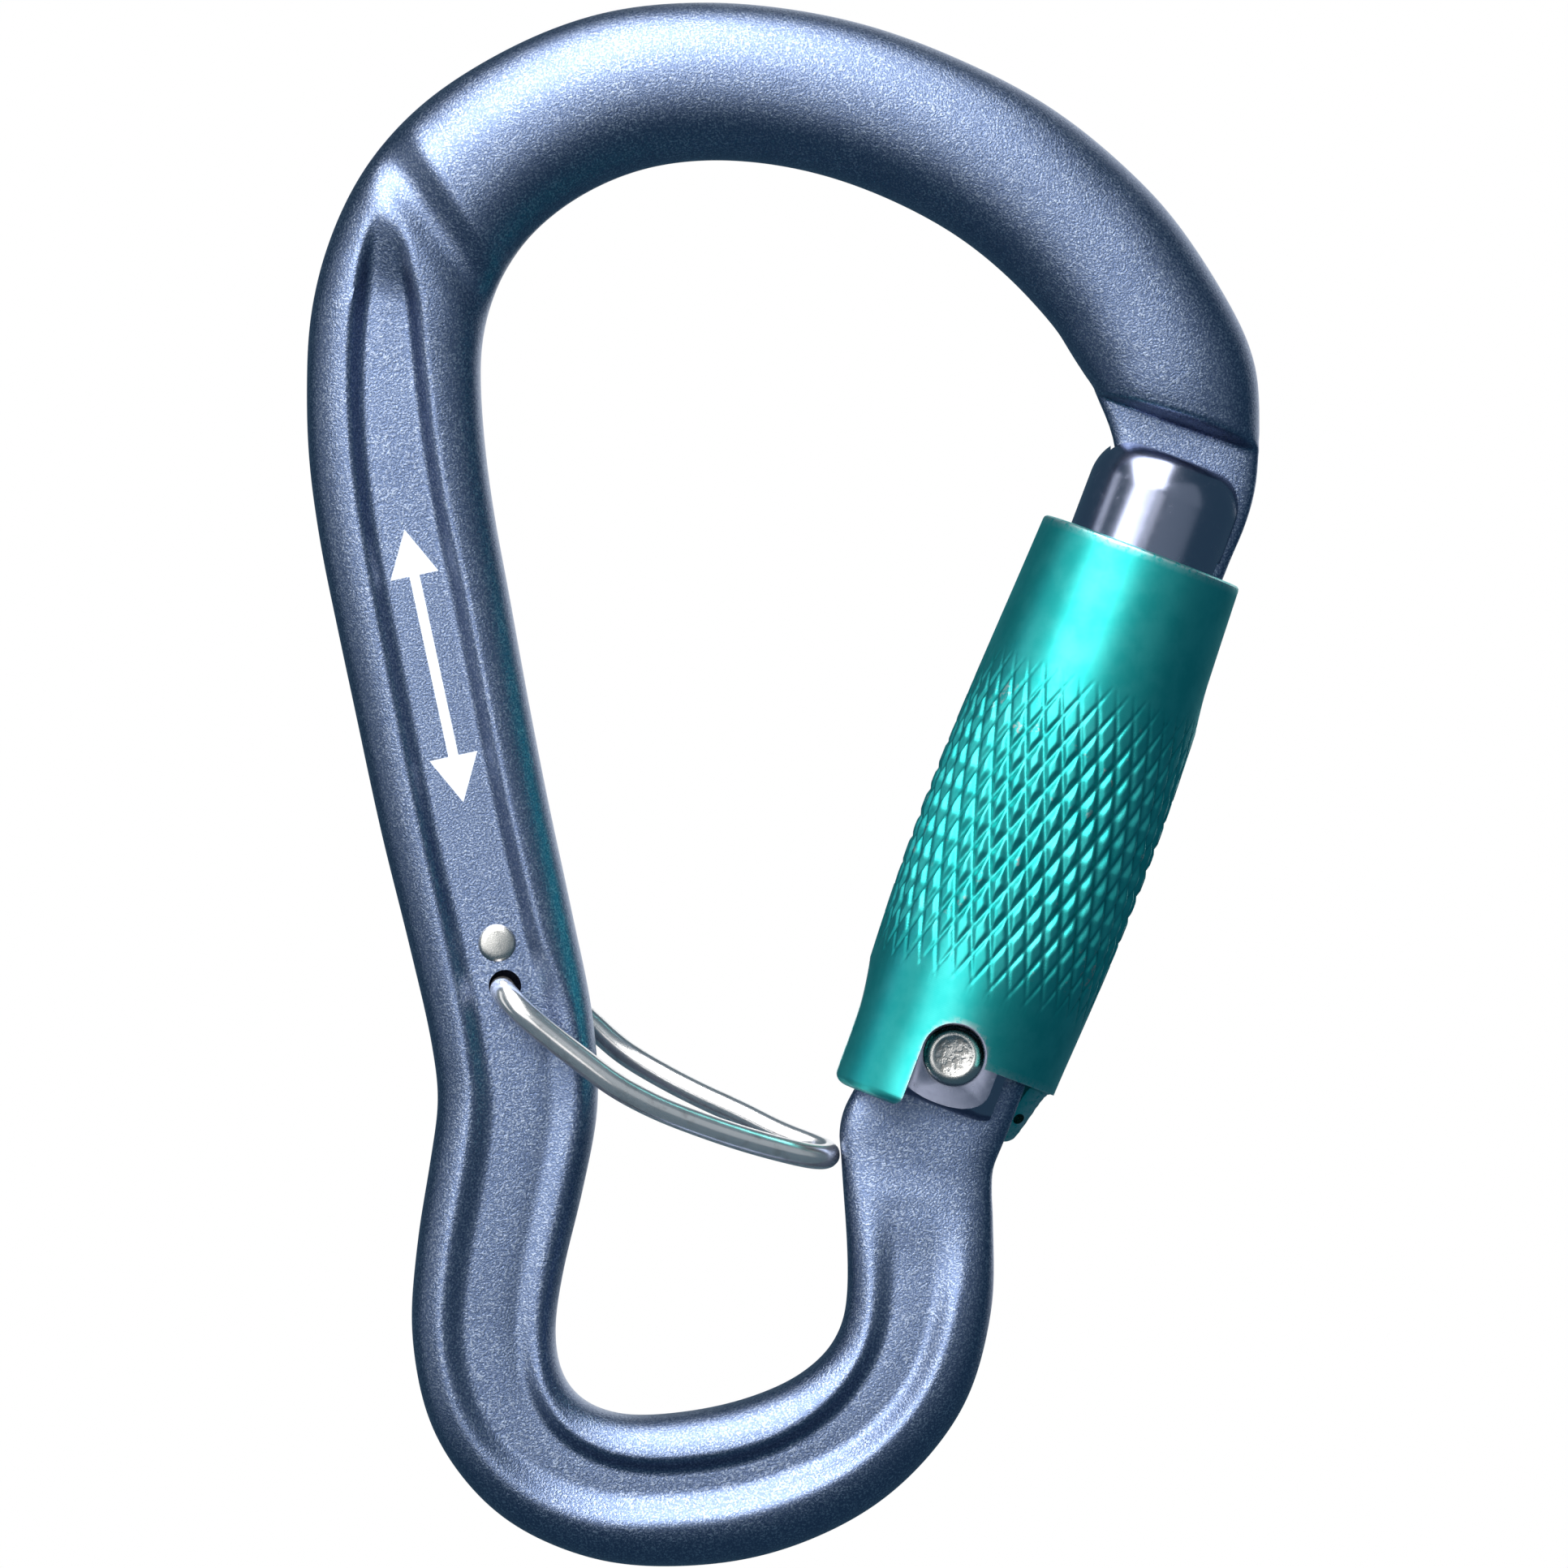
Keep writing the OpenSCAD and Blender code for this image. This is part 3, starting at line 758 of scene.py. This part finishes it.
def buildPlunger(d):
    r, z = d["foot"], d["seat"]
    outline = [(0.01, z - r)] + arc((0, z), r, -84, 0, 10)
    outline += [(r, z + 4.2), (d["shoulder"] - 0.15, z + 4.2), (d["shoulder"], z + 4.35),
                (d["shoulder"], z + 4.95), (d["shoulder"] - 0.15, z + 5.1),
                (d["tail"], z + 5.1), (d["tail"], z + 8.2), (0.6, z + 8.4), (0.01, z + 8.4)]
    piece = toRow(turned("plunger_rod", outline, 64))
    shade(piece, 40)
    return dress(piece, finishes["steel_polished"], "steel_polished", "plunger", "gate_plunger")


def buildStopPin():
    outline = [(0.01, 2.6), (0.65, 2.6), (0.8, 2.75), (0.8, 7.15), (0.65, 7.3), (0.01, 7.3)]
    piece = turned("stop_pin", outline, 48)
    upright = Matrix.Translation((0, 0, 9)) @ Matrix.Rotation(math.radians(-90), 4, "X")
    toRow(piece, upright)
    toRow(piece)
    shade(piece, 40)
    return dress(piece, finishes["steel_polished"], "steel_polished", "gate", "sleeve_stop_pin")


buildGate(gateDims)
buildRivet(rivetDims)
buildPlunger(plungerDims)
buildStopPin()
print("gate, rivet, plunger and stop pin built")


# geometry node trees

def newTree(name, **inputs):
    tree = bpy.data.node_groups.new(name, "GeometryNodeTree")
    tree.interface.new_socket("Geometry", in_out="INPUT", socket_type="NodeSocketGeometry")
    for label, (kind, value) in inputs.items():
        socket = tree.interface.new_socket(
            label, in_out="INPUT", socket_type="NodeSocket" + kind
        )
        socket.default_value = value
    tree.interface.new_socket("Geometry", in_out="OUTPUT", socket_type="NodeSocketGeometry")
    sketch = Sketch(tree)
    entry = tree.nodes.new("NodeGroupInput")
    named = {o.name: Value(sketch, o) for o in entry.outputs if o.name}
    return tree, sketch, named


def leaveTree(sketch, geometry, material):
    real = sketch.add("GeometryNodeRealizeInstances", None, {"Geometry": geometry})
    rows = {"Geometry": real, "Material": material}
    sketch.add("NodeGroupOutput", None, {
        "Geometry": sketch.add("GeometryNodeSetMaterial", None, rows)
    })


def grow(name, points, tree, **settings):
    # runs a tree on a line of points, in mm, and keeps the result as a plain mesh
    mesh = bpy.data.meshes.new(name)
    edges = [(i, i + 1) for i in range(len(points) - 1)]
    mesh.from_pydata((np.asarray(points, float) * mm).tolist(), edges, [])
    piece = bpy.data.objects.new(name, mesh)
    bpy.context.scene.collection.objects.link(piece)
    step = piece.modifiers.new(name, "NODES")
    step.node_group = tree
    names = {i.name: i.identifier for i in tree.interface.items_tree
             if i.in_out == "INPUT"}
    for label, value in settings.items():
        step[names[label]] = value
    bpy.context.view_layer.update()
    applyModifiers(piece)
    return piece


# the sleeve

sleeveDims = {
    "bore": 6.7,
    "low": -5.0,
    "top": 40.6,
    "footRound": 0.75,
    "columns": 468,
    "starts": 36,
    "rise": 3.8,  # height that a groove gains over one pitch of the pattern
    "grooveRadius": 8.45,
    "grooveSlope": 0.8,
    "helix": 22.0,
    "knurl": (5.2, 30.2),
    "knurlStep": 0.21,
    "worn": (7.0, 28.5, 1.5),  # heights between which crests are worn, and the fade
    "plainStep": 0.6,
    "notch": 2.5,
    "corner": 0.65,
    "runOut": 4.2,  # length over which the two slots run out in an arch
    "noseSlot": (2.3, 33.2),  # half width, height over which its sides are straight
    "lugSlot": (2.55, 0.5),  # half width, height under which its sides are straight
    "pinRun": (6, 7.45, 8.1, 9.9),  # radii and heights of the stop pin's groove
    "tailHole": (7.4, -2.85, 0.42, 34),  # out, up, radius, turn about the gate
}
# outer outline of the sleeve: height along the gate, radius
barrelRows = np.array([
    (-4.3, 8.15), (0, 8.22), (4.5, 8.45), (9.5, 8.7), (13.5, 8.82), (17.2, 8.86),
    (21.0, 8.82), (25.5, 8.68), (30.5, 8.46), (36.0, 8.2), (40.25, 8.01),
])
# lower edge of the sleeve beside its tail: angle about the gate, height
skirtRows = [
    (-78, -0.1), (-40, -0.15), (0, -0.2), (14, -0.25), (18, -0.35), (21, -0.65),
    (23.5, -1.1), (26, -1.7), (29, -2.6), (32, -3.5), (34.5, -4.2), (37, -4.65),
    (40, -4.92), (44, -5.05),
]


def sleeveOutline(d):
    low, high = d["knurl"]
    heights = np.concatenate([
        np.arange(d["low"] + d["footRound"], low, d["plainStep"]),
        np.arange(low, high, d["knurlStep"]),
        np.arange(high, d["top"] - 0.35, d["plainStep"]), [d["top"] - 0.35],
    ])
    radii = glide(heights, barrelRows[:, 0], barrelRows[:, 1:])[:, 0]
    bend, bore, top = d["footRound"], d["bore"], d["top"]
    outer = arc((radii[0] - bend, d["low"] + bend), bend, -90, -8, 8)
    outer += list(zip(radii, heights))
    outer += [(radii[-1] - 0.05, top - 0.15), (radii[-1] - 0.2, top - 0.03),
              (radii[-1] - 0.4, top)]
    inner = [(bore + 0.25, top), (bore + 0.06, top - 0.06), (bore, top - 0.25),
             (bore, 36), (bore, 31.6), (bore + 0.4, 31.6), (bore + 0.4, 30.6),
             (bore, 30.6), (bore, 22), (bore, 14), (bore, 6), (bore, 0),
             (bore, d["low"] + 0.25), (bore + 0.06, d["low"] + 0.06),
             (bore + 0.25, d["low"])]
    return [(r, 0, z) for r, z in outer + inner]


def knurledTree(rowCount):
    tree, s, given = newTree(
        "knurled_sleeve", Columns=("Int", 468), Starts=("Float", 36.0),
        Rise=("Float", 0.0038), GrooveRadius=("Float", 0.00845),
        GrooveSlope=("Float", 0.8), Helix=("Float", 0.38),
        WornLow=("Float", 0.007), WornHigh=("Float", 0.0285), WornFade=("Float", 0.0015),
    )
    index = s.add("GeometryNodeInputIndex")
    column = (index / float(rowCount + 1) + 0.0001).math("FLOOR")
    row = index - column * float(rowCount + 1)
    wrapped = row * (rowCount - row).math("GREATER_THAN", 0.5)
    place = s.add(
        "GeometryNodeSampleIndex", {"data_type": "FLOAT_VECTOR"},
        {"Geometry": given["Geometry"], "Value": s.add("GeometryNodeInputPosition"),
         "Index": wrapped},
    )
    radius, _, height = s.split(place)
    turn = column / given["Columns"]
    angle = turn * (2 * math.pi)
    # distance to the nearest groove of each hand, square to the groove
    width = radius * (2 * math.pi) / given["Starts"] * given["Helix"].math("COSINE")
    walls = []
    for hand in (1, -1):
        phase = turn * given["Starts"] + height / given["Rise"] * hand
        away = abs((phase + 0.5).math("FLOOR") - phase) * width
        walls.append(given["GrooveRadius"] + away * given["GrooveSlope"])
    cutRadius = radius.math("MINIMUM", walls[0]).math("MINIMUM", walls[1])
    flat = (radius - cutRadius).soft(0.00006, 0.00001)
    # the crests count as worn between two heights, with a fade at each end
    flat = flat * ((height - given["WornLow"]) / given["WornFade"]).soft(0, 1)
    flat = flat * ((given["WornHigh"] - height) / given["WornFade"]).soft(0, 1)
    grid = s.add(
        "GeometryNodeMeshGrid", None,
        {"Vertices X": given["Columns"] + 1, "Vertices Y": rowCount + 1},
    )
    marked = s.add(
        "GeometryNodeStoreNamedAttribute", {"data_type": "FLOAT", "domain": "POINT"},
        {"Geometry": grid, "Name": "crest", "Value": flat},
    )
    place = s.add("ShaderNodeCombineXYZ", None, {
        "X": cutRadius * angle.math("COSINE"), "Y": cutRadius * angle.math("SINE"),
        "Z": height,
    })
    formed = s.add("GeometryNodeSetPosition", None, {"Geometry": marked, "Position": place})
    closed = s.add(
        "GeometryNodeMergeByDistance", None, {"Geometry": formed, "Distance": 0.000001}
    )
    leaveTree(s, closed, finishes["sleeve_anodised"])
    return tree


def band(name, edge, low, inner, outer):
    # a ring-shaped cutter under an edge given as angle and height
    rings = []
    for angle, high in edge:
        c, s = math.cos(math.radians(angle)), math.sin(math.radians(angle))
        rings.append([(inner * c, inner * s, low), (outer * c, outer * s, low),
                      (outer * c, outer * s, high), (inner * c, inner * s, high)])
    return skinRings(name, np.array(rings))


def notchOutline(half, roof, rise, low, flare):
    # an arch that opens downwards and flares where it leaves the edge
    head = [(half * math.cos(a), roof + rise * math.sin(a))
            for a in np.linspace(0, math.pi, 41)]
    foot = arc((-half - flare, low + flare), flare, 0, -90, 7)
    other = arc((half + flare, low + flare), flare, -90, -180, 7)
    return head + foot + [(-half - flare, low - 3), (half + flare, low - 3)] + other


def buildSleeve(d):
    outline = sleeveOutline(d)
    piece = grow(
        "sleeve_shell", outline, knurledTree(len(outline)), Columns=d["columns"],
        Starts=float(d["starts"]), Rise=d["rise"] * mm,
        GrooveRadius=d["grooveRadius"] * mm, GrooveSlope=d["grooveSlope"],
        Helix=math.radians(d["helix"]), WornLow=d["worn"][0] * mm,
        WornHigh=d["worn"][1] * mm, WornFade=d["worn"][2] * mm,
    )
    quarter = Matrix.Rotation(math.radians(90), 4, "Z")
    low, flare, half = d["low"], d["corner"], d["notch"]
    wide, foot = d["noseSlot"]
    nose = [(wide * math.cos(a), foot - d["runOut"] * math.sin(a))
            for a in np.linspace(math.pi, 0, 41)]
    nose = prism("nose", nose + [(wide, 45), (-wide, 45)], (-12, -4), quarter)
    wide, roof = d["lugSlot"]
    lug = prism("lug", notchOutline(wide, roof, d["runOut"], low, flare), (4, 12), quarter)
    front = prism("front", notchOutline(half, 0, half, low, flare), (-12, -4))
    back = prism("back", notchOutline(half, 0, half, low, flare), (4, 12))
    skirt = band("skirt", skirtRows, -8, 5.5, 10)
    inner, outer, foot, high = d["pinRun"]
    pinRun = band("run", [(a, high) for a in range(-7, 98, 4)], foot, inner, outer)
    out, up, radius, turn = d["tailHole"]
    hole = prism("hole", circle((out, up), radius, 24), (-2, 2.0),
                 Matrix.Rotation(math.radians(turn), 4, "Z"))
    cut(piece, nose, lug, front, back, skirt, pinRun, hole)
    markRims(piece, rimLook)
    toRow(piece)
    return dress(piece, finishes["sleeve_anodised"], "sleeve_anodised", "sleeve", "sleeve")


rimLook = {
    "sharp": 35,
    "knurl": (4.5, 31, 8.2),  # heights and least radius between which no edge is sharp
    "outside": 7.55,  # least radius of an edge whose rim colour is pale: chipped anodising and a painted highlight
    "fade": 0.09,
    "ends": (-4.8, 40.2, 0.3),  # heights past which the end faces lie, and their share of that pale rim colour
}


def markRims(piece, look):
    # sharp edges outside the knurl, and how near each point is to an outer one
    low, high, within = (v * mm for v in look["knurl"])
    foot, top, share = look["ends"]
    work = bmesh.new()
    work.from_mesh(piece.data)
    rims = []
    for face in work.faces:
        face.smooth = True
    for edge in work.edges:
        middle = (edge.verts[0].co + edge.verts[1].co) / 2
        plain = middle.z < low or middle.z > high or middle.xy.length < within
        sharp = plain and edge.calc_face_angle(0) > math.radians(look["sharp"])
        edge.smooth = not sharp
        if sharp and middle.xy.length > look["outside"] * mm:
            rims += [v.co.copy() for v in edge.verts]
    tree = KDTree(len(rims))
    for i, place in enumerate(rims):
        tree.insert(place, i)
    tree.balance()
    layer = work.verts.layers.float.new("rim")
    for vert in work.verts:
        far = tree.find(vert.co)[2] / mm
        atEnd = not foot <= vert.co.z / mm <= top
        vert[layer] = max(math.exp(-far / look["fade"]), share * atEnd)
    work.to_mesh(piece.data)
    work.free()


sleeveShell = buildSleeve(sleeveDims)
print("sleeve:", len(sleeveShell.data.polygons), "faces")


# wires: keeper, springs and retaining ring

def wireTree(name, material):
    tree, s, given = newTree(name, Radius=("Float", 0.001), Sides=("Int", 24))
    line = s.add("GeometryNodeMeshToCurve", None, {"Mesh": given["Geometry"]})
    ring = s.add(
        "GeometryNodeCurvePrimitiveCircle", None,
        {"Resolution": given["Sides"], "Radius": given["Radius"]},
    )
    tube = s.add(
        "GeometryNodeCurveToMesh", None,
        {"Curve": line, "Profile Curve": ring, "Fill Caps": True},
    )
    leaveTree(s, tube, material)
    return tree


def closeEnds(piece):
    # joins the caps of a wire to its wall
    work = bmesh.new()
    work.from_mesh(piece.data)
    bmesh.ops.remove_doubles(work, verts=work.verts, dist=1e-7)
    bmesh.ops.recalc_face_normals(work, faces=work.faces)
    work.to_mesh(piece.data)
    work.free()
    shade(piece, 50)


def helix(radius, wire, low, high, turns, steps=40):
    # a coil with its first and last turn closed
    t = np.arange(0, round(turns * steps) + 1) / steps
    pitch = wire * 2.12
    spread = (high - low - 2 * pitch) / (turns - 2)
    z = low + np.clip(t, 0, 1) * pitch + np.clip(t - 1, 0, turns - 2) * spread
    z = z + np.clip(t - turns + 1, 0, 1) * pitch
    return np.stack([radius * np.cos(2 * np.pi * t), radius * np.sin(2 * np.pi * t), z], 1)


keeperDims = {
    "radius": 0.95,
    "sides": 28,
    "bendFrom": (-16.4, 0, -61.9),  # the wire's elbow lies between these two places
    "bendTo": (-10.5, 0, -68.0),
}
# the wire's route: out of the front hole, round the loop, and back into the rear hole
keeperRoute = [
    (-16.55, -2.3, -62.6), (-16.55, -3.9, -62.6), (-16.35, -5.1, -62.9), (-15.5, -5.72, -63.85),
    (-12.6, -5.85, -66.35), (-10.4, -5.82, -68.05), (-8.2, -5.7, -69.7), (-5.3, -5.2, -71.3),
    (-1.6, -4.35, -72.8), (2.1, -3.4, -74.05), (5.0, -2.4, -74.85), (7.0, -1.5, -75.3),
    (7.95, -0.7, -75.35), (8.15, 0.0, -75.15), (7.75, 0.8, -74.9), (6.7, 1.55, -74.5),
    (4.3, 2.6, -73.6), (1.7, 3.55, -72.3), (-1.6, 4.4, -70.8), (-4.9, 5.2, -69.1),
    (-7.8, 5.7, -67.3), (-9.7, 5.82, -65.6), (-13.6, 5.85, -62.1), (-16.2, 5.7, -59.9),
    (-16.95, 5.0, -59.3), (-17.0, 3.9, -59.2), (-17.0, 2.3, -59.2),
]


def smoothPath(points, count):
    points = np.array(points, float)
    at = np.insert(np.cumsum(np.linalg.norm(np.diff(points, axis=0), axis=1)), 0, 0)
    fine = glide(np.linspace(0, at[-1], 1200), at, points)
    soft = smoothed(fine, 14)
    run = np.insert(np.cumsum(np.linalg.norm(np.diff(soft, axis=0), axis=1)), 0, 0)
    even = np.linspace(0, run[-1], count)
    return np.stack([np.interp(even, run, c) for c in soft.T], 1)


steelWire = wireTree("keeper_wire_tree", finishes["steel_polished"])
springWire = wireTree("spring_wire_tree", finishes["spring_steel"])


def buildKeeper(d):
    piece = grow("keeper_loop", smoothPath(keeperRoute, 220), steelWire,
                 Radius=d["radius"] * mm, Sides=d["sides"])
    closeEnds(piece)
    dress(piece, finishes["steel_polished"], "steel_polished", None, "keeper_wire")
    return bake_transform(piece)


buildKeeper(keeperDims)

coilDims = {
    "gate_coil": (1.42, 0.3, 11.2, 26.45, 9),  # radius, wire radius, low, high, turns
    "sleeve_coil": (6.3, 0.26, 11.4, 28.8, 8),
}


def buildCoils(dims):
    made = {}
    for name, (radius, wire, low, high, turns) in dims.items():
        piece = grow(name, helix(radius, wire, low, high, turns), springWire,
                     Radius=wire * mm, Sides=10)
        closeEnds(piece)
        made[name] = toRow(piece)
    coil = dress(made["gate_coil"], finishes["spring_steel"], "spring_steel", "gate",
                 "gate_spring")
    low, high = dims["gate_coil"][2:4]
    travel = joints["plunger_slide"]["range_m"][1] / mm
    1 - travel / (high - low)
    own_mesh(coil)
    coil = dress(made["sleeve_coil"], finishes["spring_steel"], "spring_steel", None,
                 "sleeve_torsion_spring")
    low, high = dims["sleeve_coil"][2:4]
    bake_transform(coil)


buildCoils(coilDims)

ringDims = {"radius": 6.66, "wire": 0.36, "height": 31.1, "from": 200, "sweep": 320}


def buildRing(d):
    angle = np.radians(np.linspace(d["from"], d["from"] + d["sweep"], 90))
    path = np.stack([d["radius"] * np.cos(angle), d["radius"] * np.sin(angle),
                     d["height"] + 0 * angle], 1)
    piece = grow("split_ring", path, springWire, Radius=d["wire"] * mm, Sides=16)
    closeEnds(piece)
    toRow(piece)
    return dress(piece, finishes["spring_steel"], "spring_steel", "gate",
                 "sleeve_retaining_ring")


buildRing(ringDims)

# seat: distance of the recess floor from the middle plane
endDims = {"radius": 1.42, "height": 0.34, "seat": 3.42}


def buildWireEnd(name, place, side, d):
    # the flattened far end of a wire leg, flush in the floor of the recess
    r, h, seat = d["radius"], d["height"], d["seat"]
    dome = [(0.01, -0.9), (r - 0.25, -0.9), (r - 0.25, -0.1), (r - 0.05, 0.0), (r, 0.1)]
    dome += [(r - 0.06, h * 0.6), (r - 0.25, h * 0.85), (r - 0.6, h), (0.01, h + 0.04)]
    piece = turned(name, dome, 64)
    # toRow takes mm for places
    upright = Matrix.Translation((place[0], side * seat, place[1])) @ Matrix.Rotation(
        math.radians(-90 * side), 4, "X")
    toRow(piece, upright)
    shade(piece, 40)
    return dress(piece, finishes["rivet_steel"], "steel_polished", "frame")


buildWireEnd("wire_end_front", keeperHoles[1], -1, endDims)
buildWireEnd("wire_end_back", keeperHoles[0], 1, endDims)
print("keeper, springs and ring built")


# floor, lights and camera

stageLook = {
    "lens": 365.0,
    "distance": 1.2,
    "aim": (4.65, 0, -47.19),
    "floor": -170.0,
    "floorRadius": 0.6,
    "floorTints": ((0.86, 0.86, 0.87, 1), (0.91, 0.91, 0.91, 1)),
    "dusk": (0.11, 0.23, 0.33, 1),  # what the metal reflects beside the lamps
    "duskPower": 0.42,
}


def buildFloor(look):
    angle = np.linspace(0, 2 * math.pi, 96, endpoint=False)
    radii = np.array([0.001, 0.3, 0.6, 1.0]) * look["floorRadius"] / mm
    rings = np.stack([
        np.stack([r * np.cos(angle), r * np.sin(angle), look["floor"] + 0 * angle], 1)
        for r in radii
    ])
    piece = skinRings("studio_floor", rings, capped=False)
    material, s, shader, place = newFinish("floor_paper")
    mottle = s.noise(place, 0.02, 3.0)
    feed(s, shader,
         Base_Color=s.blendColour(*look["floorTints"], mottle),
         Roughness=0.85 + mottle * 0.1)
    piece.data.materials.append(material)
    piece.visible_glossy = False


def softBox(name, place, size, power, colour):
    lamp = bpy.data.lights.new(name, "AREA")
    lamp.shape, lamp.size, lamp.size_y = "RECTANGLE", *size
    lamp.energy, lamp.color = power, colour
    box = bpy.data.objects.new(name, lamp)
    target = Vector(stageLook["aim"]) * mm
    box.location = place
    box.rotation_euler = (Vector(place) - target).to_track_quat("Z", "Y").to_euler()
    bpy.context.scene.collection.objects.link(box)


def buildWorld(look):
    world = bpy.data.worlds.new("studio")
    bpy.context.scene.world = world
    world.use_nodes = True
    s = Sketch(world.node_tree)
    plain = world.node_tree.nodes["Background"]
    plain.inputs["Color"].default_value = (1, 1, 1, 1)
    plain.inputs["Strength"].default_value = 1.0
    dim = s.add("ShaderNodeBackground", None, {"Color": look["dusk"], "Strength": look["duskPower"]})
    seen = s.add("ShaderNodeLightPath", None, None, "Is Camera Ray")
    both = s.add("ShaderNodeMixShader", None,
                 {0: seen, 1: dim, 2: Value(s, plain.outputs[0])})
    end = world.node_tree.nodes["World Output"]
    world.node_tree.links.new(both.socket, end.inputs["Surface"])


def buildCamera(look):
    lens = bpy.data.cameras.new("camera")
    lens.lens, lens.sensor_width = look["lens"], 36.0
    lens.clip_start, lens.clip_end = 0.05, 20
    eye = bpy.data.objects.new("camera", lens)
    eye.location = Vector((look["aim"][0] * mm, -look["distance"], look["aim"][2] * mm))
    eye.rotation_euler = (math.radians(90), 0, 0)
    bpy.context.scene.collection.objects.link(eye)
    bpy.context.scene.camera = eye


# name, place in metres, size in metres, power, colour
boxes = [
    ("top_box", (-0.10, -0.30, 0.42), (0.5, 0.85), 7.2, (1, 1, 1)),
    ("key_box", (-0.58, -1.05, 0.22), (0.78, 1.1), 4.6, (1, 1, 1)),
    ("front_card", (-0.13, -1.4, -0.12), (0.3, 0.6), 0.7, (1, 0.98, 0.96)),
    ("left_strip", (-0.75, -0.10, 0.0), (0.16, 0.9), 0.5, (1, 1, 1)),
    ("wide_fill", (0.8, -1.25, 0.2), (1.4, 1.3), 1.25, (0.95, 0.98, 1.0)),
    ("back_box", (0.5, 1.2, 0.35), (1.1, 1.1), 3.6, (1, 1, 1)),
]
bpy.context.scene.view_settings.view_transform = "Standard"
buildFloor(stageLook)
for box in boxes:
    softBox(*box)
buildWorld(stageLook)
buildCamera(stageLook)
print("stage ready")
